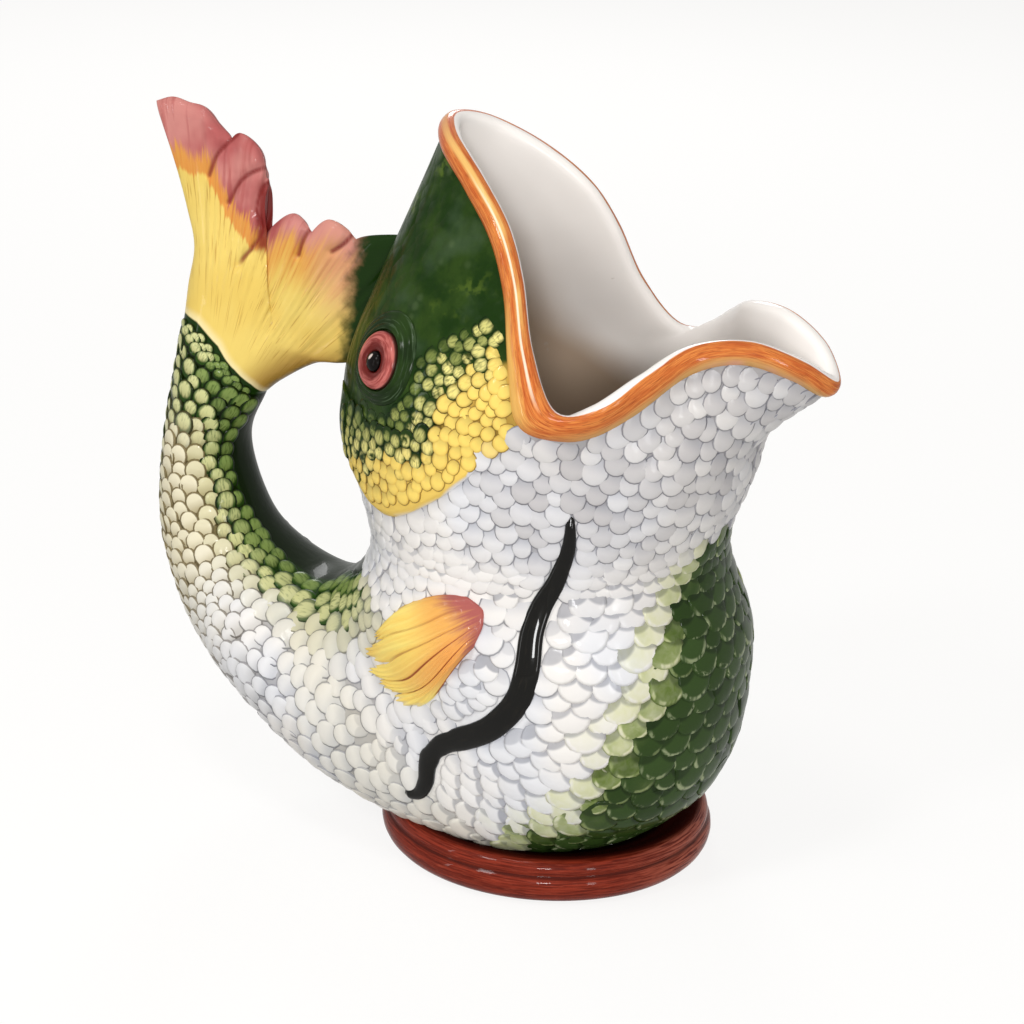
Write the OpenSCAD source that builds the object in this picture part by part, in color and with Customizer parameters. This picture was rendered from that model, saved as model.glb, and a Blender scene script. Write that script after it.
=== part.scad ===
// Gurgle jug in the form of a leaping fish. Units are millimetres.
// +X is the pouring spout, +Y the fish's left side, +Z up. The origin is the middle of the foot on the table.
// The clay body is one bent tube: it starts at the mouth, goes down the head and belly, turns round the
// handle gap and comes up as the tail. Each line below is one cross-section of that tube in the plane of
// symmetry, from its back (inner) point to its front (outer) point.

/* [Mouth rim] */
// Spout tip: x, half width, z
rim_tip = [87, 0, 169]; // [0:1:300]
// Rim beside the spout tip
rim_beak = [79, 11, 177]; // [0:1:300]
// Rim along the spout
rim_spout = [65, 19, 183]; // [0:1:300]
// Root of the spout
rim_root = [51, 28, 182]; // [0:1:300]
// Rim where the mouth widens
rim_cheek = [42, 41, 175]; // [0:1:300]
// Corner of the mouth, front side
rim_corner = [32, 52, 166]; // [0:1:300]
// Corner of the mouth, back side
rim_hinge = [17, 53, 163]; // [0:1:300]
// Upper lip, low on the side
rim_side_low = [6, 46, 178]; // [0:1:300]
// Upper lip, middle of the side
rim_side_mid = [-1, 39, 197]; // [-100:1:300]
// Upper lip, high on the side
rim_side_high = [-9, 33, 211]; // [-100:1:300]
// Upper lip, shoulder
rim_shoulder = [-22, 25, 223]; // [-100:1:300]
// Upper lip beside its top
rim_brow = [-36, 14, 232]; // [-100:1:300]
// Top of the upper lip
rim_top = [-42, 0, 235]; // [-100:1:300]

/* [Body lines] */
// Jaw: back x, back z, front x, front z
jaw_line = [-61, 184, 65, 149]; // [-200:1:250]
// Head
head_line = [-72, 146, 60, 132]; // [-200:1:250]
// Neck, the waist of the jug
neck_line = [-60, 102, 53, 106]; // [-200:1:250]
// Belly, the widest part
belly_line = [-66, 86, 62, 72]; // [-200:1:250]
// Flank, low on the belly
flank_line = [-72, 80, 53, 27]; // [-200:1:250]
// Keel, the underside over the foot
keel_line = [-78, 76, 9, 4]; // [-200:1:250]
// Rump, behind the foot
rump_line = [-87, 76, -60, 10]; // [-200:1:250]
// Tail root
tail_root_line = [-98, 82, -114, 37]; // [-200:1:250]
// Bend of the tail
tail_bend_line = [-107, 93, -138, 71]; // [-200:1:250]
// Upright stretch of the tail, the grip
tail_rise_line = [-114, 115, -142, 106]; // [-200:1:250]
// Root of the tail fin
fin_root_line = [-107, 133, -135, 156]; // [-200:1:250]

/* [Body widths] */
// Width at the jaw
jaw_w = 106; // [80:1:130]
// Width at the head
head_w = 106; // [80:1:130]
// Width at the neck
neck_w = 105; // [80:1:130]
// Width at the belly
belly_w = 118; // [90:1:140]
// Width at the flank
flank_w = 112; // [90:1:130]
// Width at the keel
keel_w = 100; // [80:1:120]
// Width at the rump
rump_w = 80; // [60:1:100]
// Width at the tail root
tail_root_w = 59; // [44:1:74]
// Width at the bend of the tail
tail_bend_w = 42; // [32:1:54]
// Width of the grip
tail_rise_w = 34; // [26:1:44]
// Width at the fin root
fin_root_w = 28; // [22:1:36]
// How far the jaw section sags at its sides
jaw_sag = 16; // [12:1:20]
// How far the head section sags at its sides
head_sag = 7; // [4:1:10]

/* [Clay and joints] */
// Wall of the head and body
wall = 4.5; // [3:0.1:6]
// Wall of the tail
tail_wall = 4; // [3:0.1:5]
// Slip layer left between a stuck-on piece and the wall
slip = 0.3; // [0.2:0.05:0.5]

/* [Lip roll] */
// Height of the rolled band at the top of the mouth
lip_band = 7; // [4:0.5:10]
// Extra height of the band at the corners of the mouth
lip_corner_extra = 10; // [4:0.5:12]
// How far the roll stands out from the head
lip_bulge = 2; // [1:0.1:4]

/* [Foot] */
// Outer diameter of the foot
foot_d = 108; // [96:1:120]
// Inner diameter of the foot
foot_bore = 78; // [60:1:84]
// Height of the foot roll
foot_h = 15; // [11:0.5:20]
// Depth of the groove round the foot
foot_groove = 0.8; // [0.4:0.1:1.5]
// Rounding of the foot's edges
foot_round = 5; // [3:0.5:7]
// How far in the foot's seat for the belly reaches
foot_seat = 12; // [8:0.5:14]
// How far that seat stands over the roll
foot_seat_h = 6; // [3:0.5:8]

/* [Tail fin] */
// Outer edge of the fin, low: x, z
fin_edge_low = [-134, 167]; // [-200:1:250]
// Outer edge, waist
fin_edge_waist = [-132, 180]; // [-200:1:250]
// Outer edge, middle
fin_edge_mid = [-135, 192]; // [-200:1:250]
// Outer edge, high
fin_edge_high = [-140, 207]; // [-200:1:250]
// Tip of the big lobe
fin_tip = [-147, 225]; // [-200:1:250]
// Underside of the small lobe, first
fin_under_a = [-100, 139]; // [-200:1:250]
// Underside of the small lobe, second
fin_under_b = [-87, 147]; // [-200:1:250]
// Notch between the two lobes
fin_notch = [-110, 182]; // [-200:1:250]
// Where the small lobe's joint with the head starts, in body lines from the rim
fin_joint_low = 1.9; // [1.6:0.05:2.1]
// Where that joint ends
fin_joint_high = 0.86; // [0.7:0.02:1.1]
// How far the joint's lower end rounds away from the head
fin_heel = 1.5; // [1:0.1:3]
// Thickness of the fin at its margin
fin_margin_t = 6; // [4:0.5:9]
// Depth of the flutes between the fin rays
fin_flute = 0.8; // [0:0.1:1.5]
// Number of flutes
fin_flutes = 7; // [3:1:11]

/* [Gill cover] */
// Thickness at the free margin
gill_t = 1.8; // [1:0.1:3]
// Thickness where it runs out into the cheek
gill_thin_t = 0.5; // [0.3:0.1:1]

/* [Eye] */
// Place round the head, degrees from the front
eye_turn = 131; // [120:1:140]
// Place down the head, in body lines from the rim
eye_drop = 1.14; // [0.9:0.02:1.4]
// Diameter of the brow ring
brow_d = 31; // [26:0.5:34]
// Height of the brow ring
brow_t = 1.6; // [1:0.1:2.5]
// Diameter of the iris
iris_d = 20; // [16:0.5:24]
// Height of the iris
iris_t = 2.4; // [1.5:0.1:4]
// Diameter of the pupil
pupil_d = 8; // [6:0.5:10]
// Height of the pupil
pupil_t = 3.2; // [2:0.1:5]

/* [Pectoral fin] */
// Thickness at the root
pec_t = 3.4; // [2:0.1:5]
// Thickness at the tips
pec_tip_t = 1.4; // [0.8:0.1:2.5]
// Depth of the grooves between the rays
pec_groove = 0.7; // [0.2:0.1:1]
// Number of rays
pec_rays = 5; // [3:1:8]

/* [Lateral line] */
// Width of the line at its middle
line_w = 8; // [5:0.5:11]
// Width at its two ends
line_end_w = 2; // [1:0.5:4]
// Height of the line
line_t = 1.4; // [0.8:0.1:2.5]

/* [Facets] */
// Segments round the body, a multiple of 4
around = 56; // [32:4:72]
// Rows from one body line to the next
rows = 4; // [3:1:6]

/* [Hidden] */

// body lines in order from the jaw to the fin root
LINE = [jaw_line, head_line, neck_line, belly_line, flank_line, keel_line, rump_line,
  tail_root_line, tail_bend_line, tail_rise_line, fin_root_line];
WIDE = [jaw_w, head_w, neck_w, belly_w, flank_w, keel_w, rump_w,
  tail_root_w, tail_bend_w, tail_rise_w, fin_root_w];
// how square each section is, how much wider it is in front, and how far it bows up
SQUARE = [2.1, 2.1, 2.1, 2.1, 2.2, 2.3, 2.2, 2, 2, 2, 2];
TAPER = [-0.05, 0, 0, 0.05, 0.15, 0.2, 0.15, 0, 0, 0, 0];
BOW = [-jaw_sag, -head_sag, 0, 0, 0, 0, 0, 0, 0, 0, 0];
LAST = len(LINE);
NECK = 3;
TAIL = 8;

// the rim as one closed row of 24 points, right side first
HALF_RIM = [rim_tip, rim_beak, rim_spout, rim_root, rim_cheek, rim_corner, rim_hinge, rim_side_low,
  rim_side_mid, rim_side_high, rim_shoulder, rim_brow, rim_top];
RIM = concat([for (p = HALF_RIM) [p[0], -p[1], p[2]]],
  [for (i = [11:-1:1]) HALF_RIM[i]]);

// gill cover, top edge and free margin, as degrees round the head and body lines from the rim
GILL_TOP = [[94, 0.85], [98, 1.05], [103, 1.3], [108, 1.5], [114, 1.65], [122, 1.76], [131, 1.8],
  [140, 1.8], [148, 1.8], [155, 1.82]];
GILL_EDGE = [[88, 0.95], [89, 1.3], [92, 1.75], [99, 2.12], [109, 2.38], [120, 2.54], [131, 2.56],
  [140, 2.44], [148, 2.26], [155, 2.05]];
// pectoral fin: five rays from root to tip
PEC = [[[89, 3.1], [105, 3.22], [118, 3.55], [125, 4.15]],
  [[89, 3.22], [103, 3.55], [116, 4.1], [126, 4.8]],
  [[89, 3.34], [100, 3.8], [111, 4.5], [120, 5.2]],
  [[89, 3.46], [97, 3.95], [105, 4.65], [111, 5.25]],
  [[89, 3.58], [94, 3.94], [98, 4.44], [101, 5.1]]];
// lateral line from the shoulder down to the foot
LATERAL = [[65, 2], [64.5, 2.45], [67.5, 2.85], [72, 3.15], [75, 3.45], [76, 3.8], [77.5, 4.15], [82.5, 4.5],
  [88, 4.85], [90.5, 5.2], [88, 5.55], [82, 5.8], [77, 6], [75.5, 6.15]];

// basic sums
function unit(v) = v / norm(v);
function mix(a, b, t) = a + (b - a) * t;
function smooth(t) = t * t * (3 - 2 * t);
function power(c, e) = sign(c) * pow(abs(c), e);
function curve(a, b, c, d, t) =
  (2 * b + (c - a) * t + (2 * a - 5 * b + 4 * c - d) * t * t + (3 * b - a - 3 * c + d) * t * t * t) / 2;
// a smooth curve through a list of points, u from 0 to 1
function along(list, u) =
  let (m = len(list) - 1, i = min(floor(u * m), m - 1), t = u * m - i)
  curve(i > 0 ? list[i - 1] : 2 * list[0] - list[1], list[i], list[i + 1],
    i < m - 1 ? list[i + 2] : 2 * list[m] - list[m - 1], t);

// the fish's skin: a is degrees round from the front by the right side, v counts body lines from the rim
function rim_at(a) =
  let (t = (a / 360 - floor(a / 360)) * 24, i = floor(t))
  curve(RIM[(i + 23) % 24], RIM[i % 24], RIM[(i + 1) % 24], RIM[(i + 2) % 24], t - i);
function line_at(k, a) =
  let (l = LINE[k - 1], e = 2 / SQUARE[k - 1], c = power(cos(a), e), s = power(sin(a), e),
    hx = (l[2] - l[0]) / 2, hz = (l[3] - l[1]) / 2, b = BOW[k - 1] * (1 - c * c) / norm([hx, hz]))
  [l[0] + hx + hx * c - hz * b, -WIDE[k - 1] / 2 * s * (1 + TAPER[k - 1] * c), l[1] + hz + hz * c + hx * b];
function key_at(k, a) = k == 0 ? rim_at(a) : line_at(k, a);
function skin(a, v) =
  let (i = max(0, min(floor(v), LAST - 1)), p = key_at(i, a), q = key_at(i + 1, a))
  curve(i > 0 ? key_at(i - 1, a) : 2 * p - q, p, q, i < LAST - 1 ? key_at(i + 2, a) : 2 * q - p, v - i);
function out_of(a, v) =
  unit(cross(skin(a + 1, v) - skin(a - 1, v), skin(a, min(v + 0.03, LAST)) - skin(a, max(v - 0.03, 0))));
function lift(a, v, h) = h == 0 ? skin(a, v) : skin(a, v) + h * out_of(a, v);

// the wall's inner point at the tail's end, kept in the plane of the fin root
function level_in(a, t) =
  let (d = unit([fin_root_line[3] - fin_root_line[1], 0, fin_root_line[0] - fin_root_line[2]]), n = out_of(a, LAST))
  skin(a, LAST) - t * unit(n - (n * d) * d);

// turns a step in millimetres, x round the skin and y down it, into degrees and body lines
function step_on(a, v, x, y) =
  let (p = skin(a + 0.5, v) - skin(a - 0.5, v), q = (skin(a, v + 0.05) - skin(a, v - 0.05)) * 10,
    e = unit(p), f = cross(unit(cross(p, q)), e), d = x * e + y * f,
    pp = p * p, pq = p * q, qq = q * q, det = pp * qq - pq * pq)
  [a + (d * p * qq - d * q * pq) / det, v + (d * q * pp - d * p * pq) / det];

// solids from rows of points: a ring-shaped one, a capped one and a plate
// turn_last splits the closing strip's faces the other way, so that two shells meet on the same triangles
module hoop(loops, turn_last = false) {
  n = len(loops[0]);
  m = len(loops);
  polyhedron(points = [for (l = loops) each l],
    faces = [for (k = [0:m - 1], i = [0:n - 1])
      let (j = (i + 1) % n, h = (k + 1) % m)
      each turn_last && h == 0 ?
        [[k * n + i, i, k * n + j], [k * n + j, i, j]] :
        [[k * n + i, h * n + j, k * n + j], [k * n + i, h * n + i, h * n + j]]], convexity = 8);
}
module capped(loops, first, last) {
  n = len(loops[0]);
  m = len(loops);
  polyhedron(points = concat([for (l = loops) each l], [first, last]),
    faces = concat(
      [for (k = [0:m - 2], i = [0:n - 1])
        let (j = (i + 1) % n)
        each [[k * n + i, (k + 1) * n + j, k * n + j], [k * n + i, (k + 1) * n + i, (k + 1) * n + j]]],
      [for (i = [0:n - 1]) [m * n, i, (i + 1) % n]],
      [for (i = [0:n - 1]) [m * n + 1, (m - 1) * n + (i + 1) % n, (m - 1) * n + i]]), convexity = 8);
}
module plate(top, under) {
  r = len(top);
  c = len(top[0]);
  b = r * c;
  polyhedron(points = concat([for (l = top) each l], [for (l = under) each l]),
    faces = concat(
      [for (i = [0:r - 2], j = [0:c - 2])
        let (p = i * c + j)
        each [[p, p + c + 1, p + 1], [p, p + c, p + c + 1],
          [b + p, b + p + 1, b + p + c + 1], [b + p, b + p + c + 1, b + p + c]]],
      [for (j = [0:c - 2])
        let (p = j, q = (r - 1) * c + j)
        each [[p, p + 1, b + p + 1], [p, b + p + 1, b + p],
          [q + 1, q, b + q], [q + 1, b + q, b + q + 1]]],
      [for (i = [0:r - 2])
        let (p = i * c, q = i * c + c - 1)
        each [[p + c, p, b + p], [p + c, b + p, b + p + c],
          [q, q + c, b + q + c], [q, b + q + c, b + q]]]), convexity = 8);
}
module other_side() {
  mirror([0, 1, 0]) children();
}

// loops round the skin
TURN = [for (i = [0:around - 1]) i * 360 / around];
function loop_at(v, h) = [for (a = TURN) lift(a, v, h)];
// the lip band's lower edge, counted in body lines
function lip_edge(a) =
  let (w = lip_band + lip_corner_extra * pow(max(0, cos(a - 72)), 12) + lip_corner_extra * pow(max(0, cos(a - 288)), 12))
  min(1.1, 0.3 * w / norm(skin(a, 0.3) - skin(a, 0)));
function shell(v0, v1, n, t) = concat(
  [for (k = [0:n]) loop_at(mix(v0, v1, k / n), 0)],
  [for (k = [n:-1:0]) loop_at(mix(v0, v1, k / n), -t)]);

// foot: a rolled ring cut to the belly that stands in it
module foot_ring() {
  r = foot_d / 2;
  color([0.45, 0.17, 0.12])
  difference() {
    rotate_extrude($fn = 96)
      polygon([[foot_bore / 2, 0], [r - foot_round, 0], [r - foot_round * 0.32, foot_h * 0.15], [r, foot_h * 0.4],
        [r - foot_round * 0.1, foot_h * 0.58], [r - foot_round * 0.18 - foot_groove, foot_h * 0.64],
        [r - foot_round * 0.2, foot_h * 0.7], [r - foot_round * 0.32, foot_h * 0.85], [r - foot_round * 0.8, foot_h],
        [r - foot_seat, foot_h + foot_seat_h], [foot_bore / 2, foot_h + foot_seat_h]]);
    capped([for (k = [0:18]) loop_at(3.5 + k * 0.25, slip)],
      (skin(0, 3.5) + skin(180, 3.5)) / 2, (skin(0, 8) + skin(180, 8)) / 2);
  }
}
// middle of the pot, from the neck to the tail root
module body_wall() {
  color([0.9, 0.9, 0.88])
  hoop(shell(NECK, TAIL, rows * (TAIL - NECK), wall), true);
}
// head from the lip band down to the neck
module head_shell() {
  n = rows * NECK;
  color([0.2, 0.32, 0.17])
  hoop(concat(
    [for (k = [0:n]) [for (a = TURN) lift(a, mix(lip_edge(a), NECK, k / n), 0)]],
    [for (k = [n:-1:0]) [for (a = TURN) lift(a, mix(lip_edge(a), NECK, k / n), -wall)]]), true);
}
// rolled lip round the mouth: share of the band and height over the skin, from the inside to its lower edge
module lip_roll() {
  steps = [[1, -wall], [0.5, -wall], [0.12, -wall * 0.85], [0, -wall * 0.3], [0.18, lip_bulge * 0.65],
    [0.5, lip_bulge], [0.82, lip_bulge * 0.75], [1, 0]];
  color([0.85, 0.5, 0.25])
  hoop([for (s = steps) [for (a = TURN) lift(a, lip_edge(a) * s[0], s[1])]]);
}
// hollow tail, the handle and air chamber
module tail_tube() {
  n = rows * (LAST - TAIL);
  color([0.55, 0.6, 0.42])
  hoop(concat(
    [for (k = [0:n]) loop_at(mix(TAIL, LAST, k / n), 0)],
    [[for (a = TURN) level_in(a, tail_wall)]],
    [for (k = [n - 1:-1:0]) loop_at(mix(TAIL, LAST, k / n), -mix(wall, tail_wall, min(1, k * 3 / n)))]), true);
}

// tail fin: two edges, the root and the scalloped margin, filled smoothly between
JOINT = [for (k = [0:3])
  let (p = lift(180, mix(fin_joint_low, fin_joint_high, k / 3), slip + (k == 0 ? fin_heel : 0))) [p[0], p[2]]];
FIN_OUTER = [[fin_root_line[2], fin_root_line[3]], fin_edge_low, fin_edge_waist, fin_edge_mid, fin_edge_high,
  fin_tip];
FIN_INNER = concat([[fin_root_line[0], fin_root_line[1]], fin_under_a, fin_under_b], JOINT);
FIN_MARGIN = [fin_tip, fin_tip + [6, 2], fin_tip + [12, 1], fin_tip + [18, 0], fin_tip + [24, -5],
  fin_tip + [31, -6], fin_tip + [38, -11], fin_tip + [41, -19], fin_notch + [4, 17], fin_notch + [3, 7],
  fin_notch, fin_notch + [6, 8], fin_notch + [13, 13], fin_notch + [20, 11], fin_notch + [27, 13],
  mix(fin_notch + [27, 13], JOINT[3], 0.5) - [0, 2], JOINT[3]];
function fin_at(s, r) =
  let (root0 = FIN_OUTER[0], root1 = FIN_INNER[0])
  mix(mix(root0, root1, s), along(FIN_MARGIN, s), r)
  + mix(along(FIN_OUTER, r), along(FIN_INNER, r), s)
  - mix(mix(root0, root1, s), mix(fin_tip, JOINT[3], s), r);
function fin_half(s, r) =
  let (c = abs(1 - 2 * s), e = mix(2, 5, smooth(r)))
  (mix(fin_root_w, fin_margin_t, 1 - pow(1 - r, 1.8)) / 2
    - fin_flute * r * (1 - r * 0.4) * (1 - cos(360 * fin_flutes * s)) / 2)
  * pow(max(0, 1 - pow(c, e)), 1 / e);
module tail_fin() {
  n = rows * 3;
  loops = [for (k = [0:n]) [for (a = TURN)
    let (s = (1 - cos(a)) / 2, p = fin_at(s, k / n)) [p[0], -sign(sin(a)) * fin_half(s, k / n), p[1]]]];
  m = around;
  h = m / 2;
  b = n * m;
  color([0.9, 0.72, 0.4])
  polyhedron(points = concat([for (l = loops) each l], [(skin(0, LAST) + skin(180, LAST)) / 2]),
    faces = concat(
      [for (k = [0:n - 1], i = [0:m - 1])
        let (j = (i + 1) % m)
        each [[k * m + i, (k + 1) * m + j, k * m + j], [k * m + i, (k + 1) * m + i, (k + 1) * m + j]]],
      [for (i = [0:m - 1]) [b + m, i, (i + 1) % m]],
      [for (i = [1:h - 1]) [b + i + 1, b + i, b + m - i]],
      [for (i = [0:h - 2]) [b + i + 1, b + (m - i) % m, b + m - i - 1]]), convexity = 8);
}

// gill cover: a plate that thickens to its free margin
module gill_cover() {
  r = 6;
  c = 15;
  spot = [for (i = [0:r]) [for (j = [0:c]) mix(along(GILL_TOP, j / c), along(GILL_EDGE, j / c), i / r)]];
  color([0.9, 0.8, 0.45])
  plate([for (i = [0:r]) [for (p = spot[i])
      lift(p[0], p[1], slip + mix(gill_thin_t, gill_t, i < r ? smooth(i / r) : 0.55))]],
    [for (i = [0:r]) [for (p = spot[i]) lift(p[0], p[1], slip)]]);
}

// rings and discs on the skin about the eye's centre
function eye_loop(d, h) = [for (i = [0:27])
  let (p = step_on(eye_turn, eye_drop, d / 2 * cos(i * 360 / 28), d / 2 * sin(i * 360 / 28))) lift(p[0], p[1], h)];
module brow_ring() {
  inner = iris_d + 2 * slip;
  function band(f) = mix(inner, brow_d, f);
  color([0.16, 0.25, 0.13])
  hoop([eye_loop(brow_d, slip), eye_loop(band(0.9), slip + brow_t * 0.7), eye_loop(band(0.66), slip + brow_t),
    eye_loop(band(0.45), slip + brow_t * 0.55), eye_loop(band(0.29), slip + brow_t),
    eye_loop(inner, slip + brow_t * 0.6), eye_loop(inner, slip), eye_loop(band(0.5), slip)]);
}
module iris() {
  inner = pupil_d + 2 * slip;
  function band(f) = mix(inner, iris_d, f);
  color([0.75, 0.35, 0.35])
  hoop([eye_loop(iris_d, slip), eye_loop(iris_d, slip + iris_t * 0.4), eye_loop(band(0.82), slip + iris_t * 0.85),
    eye_loop(band(0.47), slip + iris_t), eye_loop(inner, slip + iris_t * 0.8), eye_loop(inner, slip),
    eye_loop(band(0.5), slip)]);
}
module pupil() {
  color([0.08, 0.06, 0.06])
  capped([eye_loop(pupil_d, slip), eye_loop(pupil_d, slip + pupil_t * 0.65),
      eye_loop(pupil_d * 0.7, slip + pupil_t * 0.92)],
    lift(eye_turn, eye_drop, slip), lift(eye_turn, eye_drop, slip + pupil_t));
}

// pectoral fin: rays that fan out from a root near the lateral line
module pectoral_fin() {
  r = pec_rays * 3;
  c = 9;
  function ray(u, w) = along([for (l = PEC) along(l, w)], u);
  function tip(u) = 1 - 0.1 * (1 - abs(sin(180 * pec_rays * u)));
  function high(u, w) = (mix(pec_t, pec_tip_t, w) - pec_groove * min(1, w * 3) * (1 - abs(sin(180 * pec_rays * u))))
    * (u == 0 || u == 1 ? 0.5 : 1) * (w == 0 ? 0.5 : 1);
  spot = [for (i = [0:r]) [for (j = [0:c]) ray(i / r, j / c * tip(i / r))]];
  color([0.92, 0.78, 0.42])
  plate([for (i = [0:r]) [for (j = [0:c]) lift(spot[i][j][0], spot[i][j][1], slip + high(i / r, j / c))]],
    [for (l = spot) [for (p = l) lift(p[0], p[1], slip)]]);
}

// lateral line: a raised band along its route
module lateral_line() {
  r = 40;
  function wide(u) = mix(line_end_w, line_w, pow(sin(180 * u), 0.7));
  function spot(u, x) =
    let (p = along(LATERAL, u), q = along(LATERAL, min(1, u + 0.01)), o = along(LATERAL, max(0, u - 0.01)),
      e = unit(skin(q[0], q[1]) - skin(o[0], o[1])), n = out_of(p[0], p[1]), f = cross(n, e),
      g = unit(skin(p[0] + 0.5, p[1]) - skin(p[0] - 0.5, p[1])), h = cross(n, g))
    step_on(p[0], p[1], -x * (f * g), -x * (f * h));
  cross_row = [[-0.5, 0.35], [-0.36, 0.85], [0, 1], [0.36, 0.85], [0.5, 0.35]];
  grid = [for (i = [0:r]) [for (k = cross_row) spot(i / r, k[0] * wide(i / r))]];
  color([0.1, 0.11, 0.1])
  plate([for (l = grid) [for (j = [0:4]) lift(l[j][0], l[j][1], slip + line_t * cross_row[j][1])]],
    [for (l = grid) [for (p = l) lift(p[0], p[1], slip)]]);
}

foot_ring();
body_wall();
head_shell();
lip_roll();
tail_tube();
tail_fin();
gill_cover();  // gill_cover_right
other_side() gill_cover();  // gill_cover_left
brow_ring();  // brow_ring_right
other_side() brow_ring();  // brow_ring_left
iris();  // iris_right
other_side() iris();  // iris_left
pupil();  // pupil_right
other_side() pupil();  // pupil_left
pectoral_fin();  // pectoral_fin_right
other_side() pectoral_fin();  // pectoral_fin_left
lateral_line();  // lateral_line_right
other_side() lateral_line();  // lateral_line_left
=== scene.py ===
# %% [markdown]
# # A glazed fish jug
# The jug is a leaping fish: its open mouth pours, its belly holds the liquid and its tail is the handle. On
# the real one everything is cast clay under shiny coloured glaze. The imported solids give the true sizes, so
# each piece here is built in the same frame, in metres, and takes the place of the solid that it stands
# for.

# %% Load the frame
import math

import bpy
import numpy as np
from mathutils import Matrix, Vector


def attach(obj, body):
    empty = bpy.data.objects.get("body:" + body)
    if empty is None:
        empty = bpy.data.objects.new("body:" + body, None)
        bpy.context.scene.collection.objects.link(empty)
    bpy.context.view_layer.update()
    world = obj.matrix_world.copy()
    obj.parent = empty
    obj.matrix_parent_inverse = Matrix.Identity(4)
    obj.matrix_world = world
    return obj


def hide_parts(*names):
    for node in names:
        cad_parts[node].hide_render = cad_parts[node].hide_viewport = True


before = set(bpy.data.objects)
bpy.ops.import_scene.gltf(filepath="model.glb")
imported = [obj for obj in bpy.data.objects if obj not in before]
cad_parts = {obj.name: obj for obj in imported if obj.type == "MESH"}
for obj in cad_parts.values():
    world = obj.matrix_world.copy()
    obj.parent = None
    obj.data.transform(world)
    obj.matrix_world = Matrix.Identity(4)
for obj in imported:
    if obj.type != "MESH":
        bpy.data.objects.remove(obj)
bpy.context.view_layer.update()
MM = 0.001
scene = bpy.context.scene
scene.view_settings.view_transform = "Standard"

# %% [markdown]
# ## The camera
# A product photograph is taken from a little above with a long lens, so that the jug keeps its proportions.
# The camera is placed by its turn round the jug, its height angle and its distance, and leans by a small
# roll.

# %% Camera
CAMERA_TURN = 23
CAMERA_HEIGHT = 20.5
CAMERA_ROLL = 2.5
CAMERA_DISTANCE = 0.9
LOOK_AT = Vector((-0.017, 0, 0.1084))
CAMERA_LENS, SENSOR_WIDTH = 99.35, 36


def camera_axes():
    turn, height, roll = (math.radians(x) for x in (CAMERA_TURN, CAMERA_HEIGHT, CAMERA_ROLL))
    back = Vector((math.sin(turn) * math.cos(height), -math.cos(turn) * math.cos(height), math.sin(height)))
    right = Vector((math.cos(turn), math.sin(turn), 0))
    up = back.cross(right)
    return right * math.cos(roll) + up * math.sin(roll), up * math.cos(roll) - right * math.sin(roll), back


right, up, back = camera_axes()
lens = bpy.data.cameras.new("photo_camera")
lens.lens = CAMERA_LENS
lens.sensor_width = SENSOR_WIDTH
camera = bpy.data.objects.new("photo_camera", lens)
stance = Matrix((right, up, back)).transposed().to_4x4()
camera.matrix_world = Matrix.Translation(LOOK_AT + back * CAMERA_DISTANCE) @ stance
scene.collection.objects.link(camera)
scene.camera = camera
print("camera at", [round(x, 3) for x in camera.location])

# %% [markdown]
# ## The skin
# The clay is one bent tube from the mouth to the tail fin. Twelve sections of it are known: the rim of the
# mouth, and eleven rounded lines across the body. A point of the skin is named by its turn round the tube,
# in degrees from the front, and by how many lines down from the rim it lies. A smooth curve through the
# sections gives the rest.

# %% Sections of the body
RIM = [(87, 0, 169), (79, 11, 177), (65, 19, 183), (51, 28, 182), (42, 41, 175), (32, 52, 166), (17, 53, 163),
       (6, 46, 178), (-1, 39, 197), (-9, 33, 211), (-22, 25, 223), (-36, 14, 232), (-42, 0, 235)]
LINES = [(-61, 184, 65, 149), (-72, 146, 60, 132), (-60, 102, 53, 106), (-66, 86, 62, 72), (-72, 80, 53, 27),
         (-78, 76, 9, 4), (-87, 76, -60, 10), (-98, 82, -114, 37), (-107, 93, -138, 71),
         (-114, 115, -142, 106), (-107, 133, -135, 156)]
WIDTHS = [106, 106, 105, 118, 112, 100, 80, 59, 42, 34, 28]
SQUARE = [2.1, 2.1, 2.1, 2.1, 2.2, 2.3, 2.2, 2, 2, 2, 2]
TAPER = [-0.05, 0, 0, 0.05, 0.15, 0.2, 0.15, 0, 0, 0, 0]
SAG = [-16, -7, 0, 0, 0, 0, 0, 0, 0, 0, 0]
NECK, TAIL, LAST = 3, 8, 11
WALL = 4.5
RIM_LOOP = np.array([(x, -y, z) for x, y, z in RIM] + list(reversed(RIM[1:-1])), float)
RIM_STEPS = len(RIM_LOOP)
print("sections:", 1 + len(LINES), "and", RIM_STEPS, "points round the rim")

# %% The skin between the sections
def curve(a, b, c, d, t):
    return (2 * b + (c - a) * t + (2 * a - 5 * b + 4 * c - d) * t ** 2 + (3 * b - a - 3 * c + d) * t ** 3) / 2


def rim_at(turn):
    step = (turn / 360 % 1) * RIM_STEPS
    i = np.floor(step).astype(int)
    return curve(*(RIM_LOOP[(i + k) % RIM_STEPS] for k in (-1, 0, 1, 2)), (step - i)[:, None])


def line_at(k, turn):
    bx, bz, fx, fz = LINES[k]
    power = 2 / SQUARE[k]
    c, s = np.cos(np.radians(turn)), np.sin(np.radians(turn))
    c = np.sign(c) * np.abs(c) ** power
    s = np.sign(s) * np.abs(s) ** power
    hx, hz = (fx - bx) / 2, (fz - bz) / 2
    bow = SAG[k] * (1 - c * c) / math.hypot(hx, hz)
    return np.stack([bx + hx + hx * c - hz * bow, -WIDTHS[k] / 2 * s * (1 + TAPER[k] * c),
                     bz + hz + hz * c + hx * bow], -1)


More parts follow.
